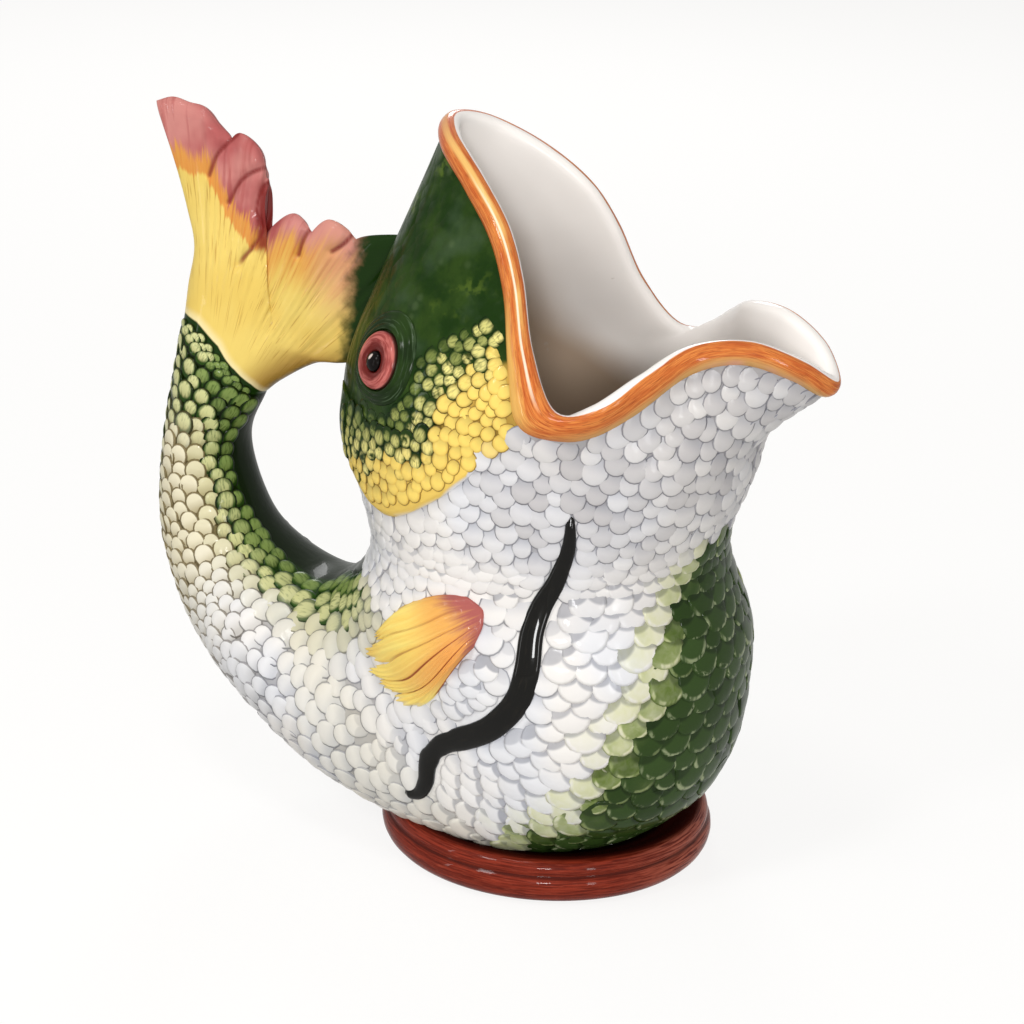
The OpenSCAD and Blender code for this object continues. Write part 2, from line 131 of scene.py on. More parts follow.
def skin(turn, down):
    # the point of the skin, in millimetres
    turn, down = np.broadcast_arrays(np.asarray(turn, float), np.asarray(down, float))
    shape = turn.shape
    turn, down = turn.ravel(), down.ravel()
    keys = np.stack([rim_at(turn)] + [line_at(k, turn) for k in range(LAST)])
    i = np.clip(np.floor(down).astype(int), 0, LAST - 1)
    n = np.arange(len(turn))
    p, q = keys[i, n], keys[i + 1, n]
    before = np.where((i > 0)[:, None], keys[np.maximum(i - 1, 0), n], 2 * p - q)
    after = np.where((i < LAST - 1)[:, None], keys[np.minimum(i + 2, LAST), n], 2 * q - p)
    return curve(before, p, q, after, (down - i)[:, None]).reshape(shape + (3,))


print("spout tip", skin(0, 0).round(1), "belly front", skin(0, 4).round(1))

# %% Off the skin
def unit(v):
    return v / np.maximum(np.linalg.norm(v, axis=-1, keepdims=True), 1e-9)


def outward(turn, down):
    turn, down = np.asarray(turn, float), np.asarray(down, float)
    across = skin(turn + 1, down) - skin(turn - 1, down)
    along = skin(turn, np.minimum(down + 0.03, LAST)) - skin(turn, np.maximum(down - 0.03, 0))
    return unit(np.cross(across, along))


def lift(turn, down, height):
    return skin(turn, down) + np.asarray(height, float)[..., None] * outward(turn, down)


def fold(turn):
    turn = np.asarray(turn, float) % 360
    return np.minimum(turn, 360 - turn)


print("the belly faces", outward(0, 4).round(2), "in front")

# %% [markdown]
# ## Turning rows of points into pieces
# Most of the jug's pieces are rows of points that close round the tube, or plates with a top and an
# underside. Each vertex also keeps a spot: up to three numbers that say where it lies on its piece. The
# glazes read them as an attribute, so the paint follows the fish and not the table that it stands on.

# %% New pieces
def new_mesh(name, points, faces, **attributes):
    # each attribute holds one number, or up to three, for each point
    mesh = bpy.data.meshes.new(name)
    faces = faces.tolist() if isinstance(faces, np.ndarray) else faces
    mesh.from_pydata(np.asarray(points, float).reshape(-1, 3).tolist(), [], faces)
    mesh.polygons.foreach_set("use_smooth", np.ones(len(mesh.polygons), bool))
    for key, values in attributes.items():
        values = np.asarray(values, float).reshape(len(mesh.vertices), -1)
        if values.shape[1] == 1:
            mesh.attributes.new(key, "FLOAT", "POINT").data.foreach_set("value", values.ravel())
        else:
            values = np.hstack([values, np.zeros((len(values), 3 - values.shape[1]))])
            mesh.attributes.new(key, "FLOAT_VECTOR", "POINT").data.foreach_set("vector", values.ravel())
    mesh.update()
    return mesh


def set_out(name, mesh, slot, *replaces):
    piece = bpy.data.objects.new(name, mesh)
    scene.collection.objects.link(piece)
    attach(piece, "root")
    if replaces:
        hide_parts(*replaces)
    print(name, len(mesh.vertices), "points", len(mesh.polygons), "faces")


def add_piece(name, points, faces, glazes, slot, node, face_glaze=None, sharp=None, **attributes):
    mesh = new_mesh(name, np.asarray(points, float) * MM, faces, **attributes)
    for glaze in glazes:
        mesh.materials.append(glaze)
    if face_glaze is not None:
        mesh.polygons.foreach_set("material_index", np.asarray(face_glaze, np.int32))
    if sharp is not None:
        ends = np.zeros(len(mesh.edges) * 2, int)
        mesh.edges.foreach_get("vertices", ends)
        hard = np.isin(ends.reshape(-1, 2), sharp).all(1)
        mesh.attributes.new("sharp_edge", "BOOLEAN", "EDGE").data.foreach_set("value", hard)
    mesh.update()
    set_out(name, mesh, slot, node)


# %% Faces of rings and plates
def quads(grid):
    # the four-sided faces between neighbours in a grid of point numbers
    return np.stack([grid[:-1, :-1], grid[:-1, 1:], grid[1:, 1:], grid[1:, :-1]], -1).reshape(-1, 4)


def ring_faces(rows, columns, closed=False):
    grid = np.arange(rows * columns).reshape(rows, columns)
    grid = np.hstack([grid, grid[:, :1]])
    return quads(np.vstack([grid, grid[:1]]) if closed else grid)


def plate_faces(rows, columns):
    grid = np.arange(rows * columns).reshape(rows, columns)
    loop = np.concatenate([grid[0], grid[1:, -1], grid[-1, -2::-1], grid[-2:0:-1, 0]])
    after, under = np.roll(loop, -1), rows * columns
    side = np.stack([after, loop, under + loop, under + after], 1)
    return np.vstack([quads(grid), under + quads(grid)[:, ::-1], side])


print("3 by 8 points:", len(ring_faces(3, 8)), "faces in a ring,", len(plate_faces(3, 8)), "in a plate")

# %% Smooth steps and lines
def smooth(x, low=0.0, high=1.0):
    t = np.clip((np.asarray(x, float) - low) / (high - low), 0, 1)
    return t * t * (3 - 2 * t)


def through(points, share):
    # a smooth line through the points, at a share of its length from 0 to 1
    points = np.asarray(points, float)
    m = len(points) - 1
    x = np.asarray(share, float) * m
    i = np.clip(np.floor(x).astype(int), 0, m - 1)
    ends = np.vstack([2 * points[0] - points[1], points, 2 * points[m] - points[m - 1]])
    return curve(ends[i], ends[i + 1], ends[i + 2], ends[i + 3], (x - i)[..., None])


print("a smooth step a quarter of the way:", smooth(0.25))

# %% [markdown]
# ## Writing glazes as sums
# A glaze is a small graph of nodes. Drawing it by hand in the editor is slow to repeat, so a wire class
# lets the script write masks as ordinary sums: each operator on a wire adds one Math node. The same
# workbench class makes every other node, for the glazes here and for the tree that lays the scales later.

# %% Wires
class Wire:
    def __init__(self, bench, socket):
        self.bench = bench
        self.socket = socket

    def math(self, operation, *others):
        sockets = {0: self, **{k + 1: other for k, other in enumerate(others)}}
        return self.bench.node("ShaderNodeMath", {"operation": operation}, sockets).out()

    def __add__(self, other):
        return self.math("ADD", other)

    def __sub__(self, other):
        return self.math("SUBTRACT", other)

    def __rsub__(self, other):
        return (self * -1) + other

    def __mul__(self, other):
        return self.math("MULTIPLY", other)

    def __truediv__(self, other):
        return self.math("DIVIDE", other)

    def most(self, other):
        return self.math("MAXIMUM", other)

    def least(self, other):
        return self.math("MINIMUM", other)

    def squared(self):
        return self * self

    __radd__ = __add__
    __rmul__ = __mul__


# %% The workbench
class Made:
    def __init__(self, bench, node):
        self.bench = bench
        self.node = node

    def out(self, key=0):
        found = [s for s in self.node.outputs if key in (s.identifier, s.name)]
        return Wire(self.bench, found[0] if found else self.node.outputs[key])


class Bench:
    def __init__(self, tree):
        self.tree = tree
        tree.nodes.clear()

    def node(self, kind, settings=None, sockets=None):
        node = self.tree.nodes.new(kind)
        for key, value in (settings or {}).items():
            setattr(node, key, value)
        for key, value in (sockets or {}).items():
            found = [s for s in node.inputs if key in (s.identifier, s.name)]
            self.feed(found[0] if found else node.inputs[key], value)
        return Made(self, node)

    def feed(self, socket, value):
        if isinstance(value, Wire):
            self.tree.links.new(value.socket, socket)
        else:
            socket.default_value = value


def colour(red, green, blue):
    parts = [x / 255 for x in (red, green, blue)]
    return tuple(x / 12.92 if x <= 0.04 else ((x + 0.055) / 1.055) ** 2.4 for x in parts) + (1,)


print("middle grey as light:", round(colour(128, 128, 128)[0], 3))

# %% The glaze bench
class Glaze(Bench):
    def __init__(self, name, coat=0.15, coat_roughness=0.04):
        self.material = bpy.data.materials.new(name)
        self.material.use_nodes = True
        super().__init__(self.material.node_tree)
        self.shader = self.node("ShaderNodeBsdfPrincipled", {}, {
            "Specular IOR Level": 0.02, "Coat Weight": coat, "Coat Roughness": coat_roughness, "IOR": 1.5})
        self.node("ShaderNodeOutputMaterial", {}, {"Surface": self.shader.out("BSDF")})
        self.place = self.node("ShaderNodeTexCoord").out("Object")

    def parts(self, vector):
        made = self.node("ShaderNodeSeparateXYZ", {}, {"Vector": vector})
        return made.out("X"), made.out("Y"), made.out("Z")

    def read(self, attribute):
        return self.parts(self.node("ShaderNodeAttribute", {"attribute_name": attribute}).out("Vector"))

    def value(self, attribute):
        return self.node("ShaderNodeAttribute", {"attribute_name": attribute}).out("Fac")

    def vector(self, x, y, z=0.0):
        return self.node("ShaderNodeCombineXYZ", {}, {"X": x, "Y": y, "Z": z}).out()

    def noise(self, scale, detail=3.0, vector=None, warp=0.0):
        return self.node("ShaderNodeTexNoise", {}, {
            "Vector": vector or self.place, "Scale": scale, "Detail": detail, "Distortion": warp}).out("Fac")

    def cells(self, scale):
        return self.node("ShaderNodeTexVoronoi", {}, {"Vector": self.place, "Scale": scale}).out("Distance")

    def step(self, wire, low, high):
        # from 0 at low to 1 at high
        return self.node("ShaderNodeMapRange", {"interpolation_type": "SMOOTHSTEP"}, {
            "Value": wire, "From Min": low, "From Max": high}).out("Result")

    def fall(self, wire, low, high):
        return 1 - self.step(wire, low, high)

    def span(self, wire, low, full, fade, high):
        # 1 between full and fade, 0 below low and above high
        return self.step(wire, low, full) * self.fall(wire, fade, high)

    def follow(self, wire, stops):
        # the height of a line, given as pairs of place and height
        made = self.node("ShaderNodeValToRGB", {}, {"Fac": wire})
        ramp = made.node.color_ramp
        while len(ramp.elements) < len(stops):
            ramp.elements.new(0.5)
        for element, (place, height) in zip(ramp.elements, stops):
            element.position = place
            element.color = (height, height, height, 1)
        return self.node("ShaderNodeRGBToBW", {}, {"Color": made.out("Color")}).out()

    def mix(self, amount, under, over, how="MIX"):
        return self.node("ShaderNodeMix", {"data_type": "RGBA", "blend_type": how}, {
            "Factor_Float": amount, "A_Color": under, "B_Color": over}).out("Result_Color")

    def layers(self, paint, *coats):
        # each coat is a mask and a colour, laid over what is there
        for mask, tint in coats:
            plain = isinstance(tint, tuple) and len(tint) == 3
            paint = self.mix(mask, paint, colour(*tint) if plain else tint)
        return paint

    def finish(self, base, roughness, bump=None, strength=0.2, depth=0.0004):
        inputs = self.shader.node.inputs
        self.feed(inputs["Base Color"], base)
        self.feed(inputs["Roughness"], roughness)
        if bump is not None:
            self.feed(inputs["Normal"], self.node("ShaderNodeBump", {}, {
                "Strength": strength, "Distance": depth, "Height": bump}).out("Normal"))
        print("glaze", self.material.name, len(self.tree.nodes), "nodes")
        return self.material


# %% [markdown]
# ## The paint of the fish
# The potter brushed the fish in soft areas: a white flank, a dark green bib in front, an olive back of the
# tail with a nearly black inside, a yellow gill cover and a dark green crown. Each area is a line drawn on
# the skin, as the turn where it starts at each height, with a wobble from noise so that it looks brushed.
# The scales and the skin under them share this one recipe: the scales take their own middle and rim into
# account.

# %% Palette
WHITE = colour(234, 230, 225)
COOL_WHITE = colour(224, 225, 229)
CREAM = colour(228, 218, 182)
LEAF = colour(110, 132, 48)
PALE_LEAF = colour(206, 206, 146)
DARK_GREEN = colour(24, 48, 10)
BIB_GREEN = colour(40, 60, 22)
NEAR_BLACK = colour(18, 30, 10)
YELLOW = colour(242, 210, 108)
OCHRE = colour(190, 138, 48)
OLIVE = colour(190, 184, 124)
FLECK = colour(236, 224, 140)
TAIL_GREEN = colour(48, 80, 26)
DULL_FLECK = colour(150, 164, 84)
THROAT_SHADE_GREY = colour(190, 186, 185)
CROWN_LIGHT = colour(42, 64, 20)
SHEEN = colour(70, 88, 66)
DULL_LEAF = colour(126, 146, 78)
BIB_LIGHT = colour(56, 78, 36)
BIB_STROKE_AND_HIGHLIGHT = colour(158, 168, 128)
GLINT = colour(104, 122, 84)
print("green of the bib", [round(x, 3) for x in BIB_GREEN])

# %% Lines between the areas
def turns(*pairs):
    return [(line / LAST, turn / 180) for line, turn in pairs]


def lines(*pairs):
    return [(turn / 180, line / LAST) for turn, line in pairs]


GILL_LINE = [(84, 0), (86, 0.8), (90, 1.3), (92, 1.72), (99, 2.14), (109, 2.4), (121, 2.56), (131, 2.56),
             (140, 2.44), (155, 2.2), (180, 2.1)]
BAND_LINE = [(3.1, 180), (3.6, 152), (4.6, 168), (6, 171), (7.6, 171), (8.7, 168), (9.4, 158), (9.9, 157),
             (10.4, 164), (11, 170)]
BIB_EDGE = turns((2.5, 0), (2.8, 20), (3.2, 29), (3.6, 36), (4, 41), (4.4, 46), (4.9, 51), (5.6, 52),
                 (6.3, 30), (6.6, 0))
TAIL_EDGE = turns((3.4, 180), (3.8, 131), (5.7, 141), (7.3, 143), (8.3, 134), (9.2, 125), (9.8, 122),
                  (10.5, 104), (11, 60))
GREEN_EDGE = lines((100, 1.6), (104, 1.64), (110, 1.82), (118, 2.04), (128, 2.2), (150, 2.36), (180, 2.4))
CHEEK_EDGE = turns((0, 109), (0.5, 107.5), (0.8, 106), (1, 104.5), (1.5, 103.5), (3, 103))
BAND_EDGE = turns(*BAND_LINE)
GILL_RIM = lines(*GILL_LINE)
print("bib widest at", max(turn * 180 for _, turn in BIB_EDGE), "degrees from the front")

# %% Where the paint lies
class Spot:
    # where the paint lies on the fish. On a scale, middle is 1 in its middle, free along its free edge
    # and dab on a brush mark, and tone differs from scale to scale
    def __init__(self, g, middle, tone, free=0.0, dab=0.0):
        self.middle, self.tone, self.free, self.dab = middle, tone, free, dab
        self.at, self.down, _ = g.read("spot")
        self.drift = g.noise(70, 3) - 0.5
        self.brush = g.noise(420, 4, warp=0.5)
        self.at_w = self.at + self.drift * 0.035 + (tone - 0.5) * 0.03
        self.down_w = self.down + self.drift * 0.02 + (tone - 0.5) * 0.03


# %% Paint of the flank and the bib
def flank_paint(g, p):
    white = g.mix(g.step(g.noise(26, 2), 0.4, 0.62) * 0.8, WHITE, COOL_WHITE)
    # painted shade: the throat under the overhanging lip is painted greyer
    throat_shade = g.fall(p.at, 0.44, 0.56) * g.fall(p.down, 0.16, 0.36)
    low = g.span(p.down, 0.5, 0.56, 0.6, 0.66) * g.step(p.at, 0.2, 0.3)
    return g.layers(white, (throat_shade * (0.4 + p.tone * 0.5), THROAT_SHADE_GREY), (low * 0.35, CREAM))


def bib_paint(g, p, paint):
    inside = g.follow(p.down, BIB_EDGE) - p.at_w - 0.2 * g.fall(p.down, 0.225, 0.25)
    inside = inside - p.drift * 0.02 - 0.025 * p.free
    dark = g.step(inside, -0.005, 0.045)
    stroke = g.step(p.brush + p.tone * 0.1, 0.46, 0.6) * (0.5 + p.tone * 0.5)
    return g.layers(
        paint,
        (g.step(inside, -0.075, -0.01) * (0.35 + p.brush * 0.65), PALE_LEAF),
        (g.step(inside, -0.03, 0.02) * (0.55 + p.brush * 0.6), LEAF),
        (dark, g.mix(p.tone, BIB_GREEN, BIB_LIGHT)),
        # pale strokes on the free edge of the dark scales: brushed strokes, and a painted highlight on the
        # raised edge
        (dark * p.free * stroke, BIB_STROKE_AND_HIGHLIGHT))


# %% Paint of the tail and the head
def tail_paint(g, p, paint):
    # cream on the side, green towards the fin, the outer edge and the smooth dark inside
    back = p.at_w - g.follow(p.down, TAIL_EDGE)
    outer = g.fall(p.at_w, 0.14, 0.34) * g.step(p.down_w, 0.82, 0.9)
    green = g.step(back, -0.02, 0.05).most(outer).most(g.step(p.down_w, 0.92, 0.965))
    dusk = g.mix(p.dab * (0.7 + p.tone * 0.7), g.mix(p.tone, DARK_GREEN, TAIL_GREEN), DULL_LEAF)
    band = p.at - g.follow(p.down, BAND_EDGE) + p.drift * 0.02
    return g.layers(
        paint,
        (g.step(p.down, 0.7, 0.84) * 0.85, CREAM),
        (g.step(back, -0.11, 0) * 0.6, OLIVE),
        (green, g.mix(p.dab * (1 + p.tone * 0.5), TAIL_GREEN, PALE_LEAF)),
        (g.step(back, 0.05, 0.13), dusk),
        (g.step(band, -0.012, 0.012), NEAR_BLACK))


def head_paint(g, p, paint):
    gill = g.step(g.follow(p.at, GILL_RIM) - p.down, -0.003, 0.004)
    crown = (g.follow(p.at, GREEN_EDGE) - p.down_w).least((p.at_w - g.follow(p.down, CHEEK_EDGE)) * 0.5)
    fade = g.fall(crown + p.tone * 0.03, 0.02, 0.095) * g.step(p.brush + p.tone * 0.3, 0.36, 0.62)
    fleck = g.mix(g.step(crown + p.tone * 0.02, 0.012, 0.055), FLECK, DULL_FLECK)
    green = g.mix(g.step(g.noise(110, 4), 0.4, 0.66), DARK_GREEN, CROWN_LIGHT)
    high = g.step(crown, 0.02, 0.05)
    glint = g.fall(g.cells(210), 0.1, 0.42) * g.step(g.noise(52, 2), 0.48, 0.66)
    dapple = g.step(g.noise(60, 2), 0.58, 0.66) * g.step(g.noise(330, 3), 0.45, 0.62)
    return g.layers(
        paint,
        # the ochre towards each scale's rim is painted shade in the crevices
        (gill, g.mix((1 - p.middle) * 0.6, YELLOW, OCHRE)),
        (g.step(crown + (1 - p.middle) * 0.006, -0.008, 0.004), g.mix(p.dab * fade, green, fleck)),
        # painted sheen in grey-green patches and small painted glints on the dark crown
        (g.step(g.noise(48, 3), 0.54, 0.7) * high * 0.4, SHEEN),
        (glint * high * 0.22, GLINT),
        (dapple * high * 0.35, LEAF))


def fish_paint(g, *marks):
    p = Spot(g, *marks)
    paint = bib_paint(g, p, flank_paint(g, p))
    return head_paint(g, p, tail_paint(g, p, paint))


# %% Glazes of the skin and the inside
def skin_glaze():
    g = Glaze("skin_paint", 0.09)
    paint = fish_paint(g, 0.0, g.noise(160, 2))
    at, down, bare = g.read("spot")
    # painted shade in the creases between the scales: grey on the flank, brown on the tail
    shade = g.mix(g.step(down, 0.62, 0.8), (0.6, 0.6, 0.62, 1), (0.28, 0.24, 0.16, 1))
    paint = g.mix(1 - bare, paint, shade, "MULTIPLY")
    crown = g.step(at, 0.5, 0.6) * g.fall(down, 0.12, 0.2)
    bumps = g.noise(300, 3) * 0.3 + (g.noise(150, 1) - g.cells(210) * 1.6) * crown
    return g.finish(paint, 0.26 + g.noise(60, 2) * 0.12, bumps, 0.8, 0.0006)


def inside_white(g):
    return g.mix(g.noise(18, 3), colour(250, 245, 240), colour(242, 236, 230))


def inside_glaze():
    g = Glaze("white_inside", 0.3, 0.07)
    cloud = g.noise(18, 3)
    _, down, _ = g.read("spot")
    x, _, _ = g.parts(g.place)
    # painted shade: the inside turns warm grey deeper down and towards the back of the mouth
    shade_depth = down - x * 1.1 + (cloud - 0.5) * 0.06
    white = g.layers(
        inside_white(g),
        (g.step(shade_depth, 0.065, 0.15), (174, 154, 134)),
        (g.step(g.noise(240, 2), 0.74, 0.78) * 0.4, (176, 166, 152)))
    return g.finish(white, 0.2 + cloud * 0.1, g.noise(35, 2), 0.2, 0.0008)


SKIN = skin_glaze()
INSIDE = inside_glaze()

# %% [markdown]
# ## Head, belly and tail
# On the real jug these are hollow clay with a wall of about 4.5 mm. Each is a set of loops that goes down
# the outside and comes back up the inside, so the wall has its true thickness and the mouth shows a real
# white interior. The ends are marked sharp, so that the shading runs on smoothly from one piece to the
# next.

# %% Where the skin is smooth
AROUND = 224
TURN = np.arange(AROUND) * 360 / AROUND
LIP_BAND, LIP_CORNER = 7, 10
FAR_SHIFT, FAR_FROM, FAR_TO = 45, 112, 136
LATERAL = [(65, 2), (64.5, 2.45), (67.5, 2.85), (72, 3.15), (75, 3.45), (76, 3.8), (77.5, 4.15), (82.5, 4.5),
           (88, 4.85), (90.5, 5.2), (88, 5.55), (82, 5.8), (77, 6), (75.5, 6.15)]
LINE_W, LINE_END_W, LINE_T = 8, 2, 1.4
PEC = [[(89, 3.1), (105, 3.22), (118, 3.55), (125, 4.15)],
       [(89, 3.22), (103, 3.55), (116, 4.1), (126, 4.8)],
       [(89, 3.34), (100, 3.8), (111, 4.5), (120, 5.2)],
       [(89, 3.46), (97, 3.95), (105, 4.65), (111, 5.25)],
       [(89, 3.58), (94, 3.94), (98, 4.44), (101, 5.1)]]


def lip_edge(turn):
    # the line where the lip ends on the skin; it is wider at the corners of the mouth
    turn = np.asarray(turn, float)
    wide = LIP_BAND + LIP_CORNER * sum(np.maximum(0, np.cos(np.radians(turn - c))) ** 12 for c in (72, 288))
    reach = np.linalg.norm(skin(turn, 0.3) - skin(turn, 0), axis=-1)
    return np.minimum(1.1, 0.3 * wide / reach)


def painted_turn(turn, down):
    # the dark inside of the tail reaches further round on the far side
    at = fold(turn)
    far = FAR_SHIFT * (np.asarray(turn) > 180) * smooth(at, FAR_FROM, FAR_TO) * (np.asarray(down) > NECK)
    return np.minimum(at + far, 180)


def gap_to(points, marks, radius=0.0):
    # distance in millimetres from the nearest of the marks
    gap = np.full(points.shape[:-1], np.inf)
    for mark, less in zip(marks, np.broadcast_to(radius, len(marks))):
        gap = np.minimum(gap, np.linalg.norm(points - mark, axis=-1) - less)
    return gap


def flank_width(share):
    return LINE_END_W + (LINE_W - LINE_END_W) * np.sin(np.pi * share) ** 0.7


def flank_line_gap(points):
    share = np.linspace(0, 1, 160)
    return gap_to(points, skin(*through(LATERAL, share).T), flank_width(share) / 2)


def pec_at(u, w):
    # turn and line of a spot of the right side fin: u from ray to ray, w along a ray
    rows = np.stack([through(ray, w) for ray in PEC])
    x = u * (len(PEC) - 1)
    i = np.clip(np.floor(x).astype(int), 0, len(PEC) - 2)
    n = np.indices(u.shape)
    ends = np.concatenate([2 * rows[:1] - rows[1:2], rows, 2 * rows[-1:] - rows[-2:-1]])
    return curve(*(ends[i + k, n[0], n[1]] for k in range(4)), (x - i)[..., None])


def side_fin_gap(points):
    u, w = np.meshgrid(np.linspace(0, 1, 31), np.linspace(0, 1, 25), indexing="ij")
    return gap_to(points, skin(*pec_at(u, w * 0.94).reshape(-1, 2).T))


def bare_skin(turn, down):
    # 1 where the skin is smooth and painted, 0 where it is only the crease between scales
    at = fold(turn)
    band = smooth(at - np.interp(down, *zip(*BAND_LINE)), -3, 1) * (down > NECK)
    crown = smooth(at, 98, 106) * smooth(1.75 - down, 0, 0.3)
    points = skin(at, down)
    beside = 1 - smooth(np.minimum(flank_line_gap(points), side_fin_gap(points)), 1.5, 3.5)
    return np.maximum(np.maximum(band, crown), beside)


print("lip ends", lip_edge(0).round(2), "lines down at the spout,", lip_edge(72).round(2), "at the corner")

# %% Hollow pieces
def hollow_piece(name, starts, end, rows, slot, node, thinner=0.0):
    share = np.linspace(0, 1, rows)[:, None]
    down = starts + (end - starts) * share
    turn, wall = np.broadcast_arrays(TURN, WALL - thinner * np.minimum(1, share * 3))
    loops = np.concatenate([skin(turn, down), lift(turn, down, -wall)[::-1]])
    at = painted_turn(turn, down)
    spots = np.stack([at / 180, down / LAST, bare_skin(at, down)], -1)
    spots = np.concatenate([spots, spots[::-1]])
    faces = ring_faces(2 * rows, AROUND, True)
    inner = np.repeat(np.arange(2 * rows), AROUND) >= rows
    ends = np.concatenate([np.arange(AROUND) + k * AROUND for k in (0, rows - 1, rows, 2 * rows - 1)])
    add_piece(name, loops, faces, [SKIN, INSIDE], slot, node, inner, ends, spot=spots)


hollow_piece("head_skin", lip_edge(TURN), NECK, 60, "head_glaze", "head_shell")
hollow_piece("body_skin", np.full(AROUND, float(NECK)), TAIL, 100, "body_glaze", "body_wall")
hollow_piece("tail_skin", np.full(AROUND, float(TAIL)), LAST, 60, "tail_glaze", "tail_tube", 0.5)

# %% [markdown]
# ## The rolled lip
# A strip of clay is rolled round the mouth and painted orange, with brown strokes that follow it. The strip
# is a profile of a few points that is carried round the rim. Its inner half is white like the inside.

# %% Lip
LIP_PROFILE = [(1, -4.5), (0.8, -4.5), (0.6, -4.45), (0.4, -4.35), (0.22, -4.1), (0.08, -3.5), (0, -2.5),
               (-0.03, -1.3), (0, -0.1), (0.08, 0.8), (0.2, 1.4), (0.36, 1.85), (0.52, 2), (0.68, 1.85),
               (0.82, 1.4), (0.93, 0.75), (1, 0)]


def lip_glaze():
    g = Glaze("lip_orange", 0.25)
    along, across, at = g.read("spot")
    stroke = g.noise(1, 4, g.vector(along * 9, across * 26), 0.6)
    fine = g.noise(1, 5, g.vector(along * 24, across * 80), 0.3)
    wash = g.noise(34, 3)
    # the outer half is ochre in front and yellow at the corner, and over the jaw the crest is yellow
    low = g.step(across + (stroke - 0.5) * 0.12, 0.7, 0.88)
    crest = g.span(across, 0.52, 0.57, 0.63, 0.7) * g.step(at, 0.58, 0.66)
    # painted highlight: a thin pale line along the crest over the jaw
    shine = g.span(across, 0.61, 0.63, 0.645, 0.665) * g.span(at, 0.5, 0.56, 0.76, 0.86)
    smear = g.step(across, 0.78, 0.92) * g.span(at, 0.05, 0.1, 0.17, 0.25) * g.step(wash, 0.34, 0.5)
    orange = g.layers(
        g.mix(g.step(stroke, 0.36, 0.64), colour(194, 98, 44), colour(216, 132, 64)),
        (g.step(fine, 0.5, 0.64) * 0.6, (146, 60, 30)),
        (low * g.fall(at, 0.36, 0.48) * 0.8, (202, 160, 96)),
        (low * g.span(at, 0.46, 0.53, 0.6, 0.68) * 0.85, (232, 184, 98)),
        (crest * g.step(wash, 0.34, 0.5) * 0.75, (238, 198, 116)),
        (shine * 0.75, (250, 238, 214)),
        (smear * 0.8, (212, 150, 142)),
        (g.step(across, 0.9, 0.99) * g.step(at, 0.56, 0.62) * 0.6, (96, 62, 30)),
        (g.step(at, 0.86, 0.97) * 0.5, (196, 112, 96)))
    band = g.step(across + (stroke - 0.5) * 0.04 + g.step(at, 0.44, 0.56) * 0.045, 0.465, 0.49)
    return g.finish(g.mix(band, inside_white(g), orange), 0.18 + fine * 0.1, fine, 0.05)


def make_lip():
    share, height = (np.array(x, float)[:, None] for x in zip(*LIP_PROFILE))
    turn, down, height = np.broadcast_arrays(TURN, share * lip_edge(TURN), height)
    length = np.concatenate([[0], np.cumsum(np.linalg.norm(np.diff(skin(TURN, 0), axis=0), axis=1))])
    half = np.minimum(length, length[-1] - length) / 100
    across = np.linspace(0, 1, len(share))[:, None]
    spots = np.stack(np.broadcast_arrays(half, across, fold(TURN) / 180), -1)
    ends = np.concatenate([np.arange(AROUND), np.arange(AROUND) + (len(share) - 1) * AROUND])
    faces = ring_faces(len(share), AROUND, True)
    add_piece("lip", lift(turn, down, height), faces, [lip_glaze()], "lip_glaze", "lip_roll", sharp=ends,
              spot=spots)


make_lip()

# %% [markdown]
# ## The tail fin
# The fin grows out of the tail, spreads into a big lobe and a small one, and the small one is stuck to the
# head. Its outline is two edges and a scalloped margin, filled in between like a stretched cloth. Fine rays
# run from the root to the margin, so they are pressed into the thickness, and the paint strokes follow the
# same direction.

# %% Outline of the fin
FIN_TIP, FIN_NOTCH = np.array((-147.0, 225.0)), np.array((-110.0, 182.0))
SLIP, FIN_HEEL, FIN_MARGIN_T = 0.3, 1.5, 6
JOINT = [lift(180, d, SLIP + h)[[0, 2]] for d, h in ((1.9, FIN_HEEL), (1.553, 0), (1.207, 0), (0.8, 0))]
FIN_OUTER = [(-135, 156), (-134, 167), (-132, 180), (-135, 192), (-140, 207), FIN_TIP]
FIN_INNER = [(-107, 133), (-100, 139), (-87, 147), *JOINT]
MARGIN_STEPS = [(0, 0), (6, 2), (12, 1), (18, 0), (24, -5), (31, -6), (38, -11), (41, -19)]
NOTCH_STEPS = [(4, 17), (3, 7), (0, 0), (6, 8), (13, 13), (20, 11), (27, 13)]
FIN_MARGIN = [FIN_TIP + s for s in MARGIN_STEPS] + [FIN_NOTCH + s for s in NOTCH_STEPS]
FIN_MARGIN += [(FIN_NOTCH + (27, 13) + JOINT[3]) / 2 - (0, 1.5), JOINT[3]]
FIN_SWEEP = [FIN_TIP, FIN_TIP + (24, -2), FIN_TIP + (42, -22), FIN_NOTCH + (16, 12), JOINT[3]]
FAN_AT = np.array((-120.0, 118.0))
CUSPS = (0.28, 0.42, 0.81, 0.92)
CREASES = [[(-117, 218), (-120, 215), (-124, 210), (-126, 204)],
           [(-106, 209), (-112, 206), (-116, 202), (-119, 196)],
           [(-104, 205), (-107, 202), (-109, 195), (-107, 188), (-110, 182)],
           [(-88, 194), (-91, 190), (-93, 186), (-94, 182)],
           [(-75, 192), (-78, 188), (-82, 185)],
           [(-110, 182), (-112, 179.5), (-114, 176)]]


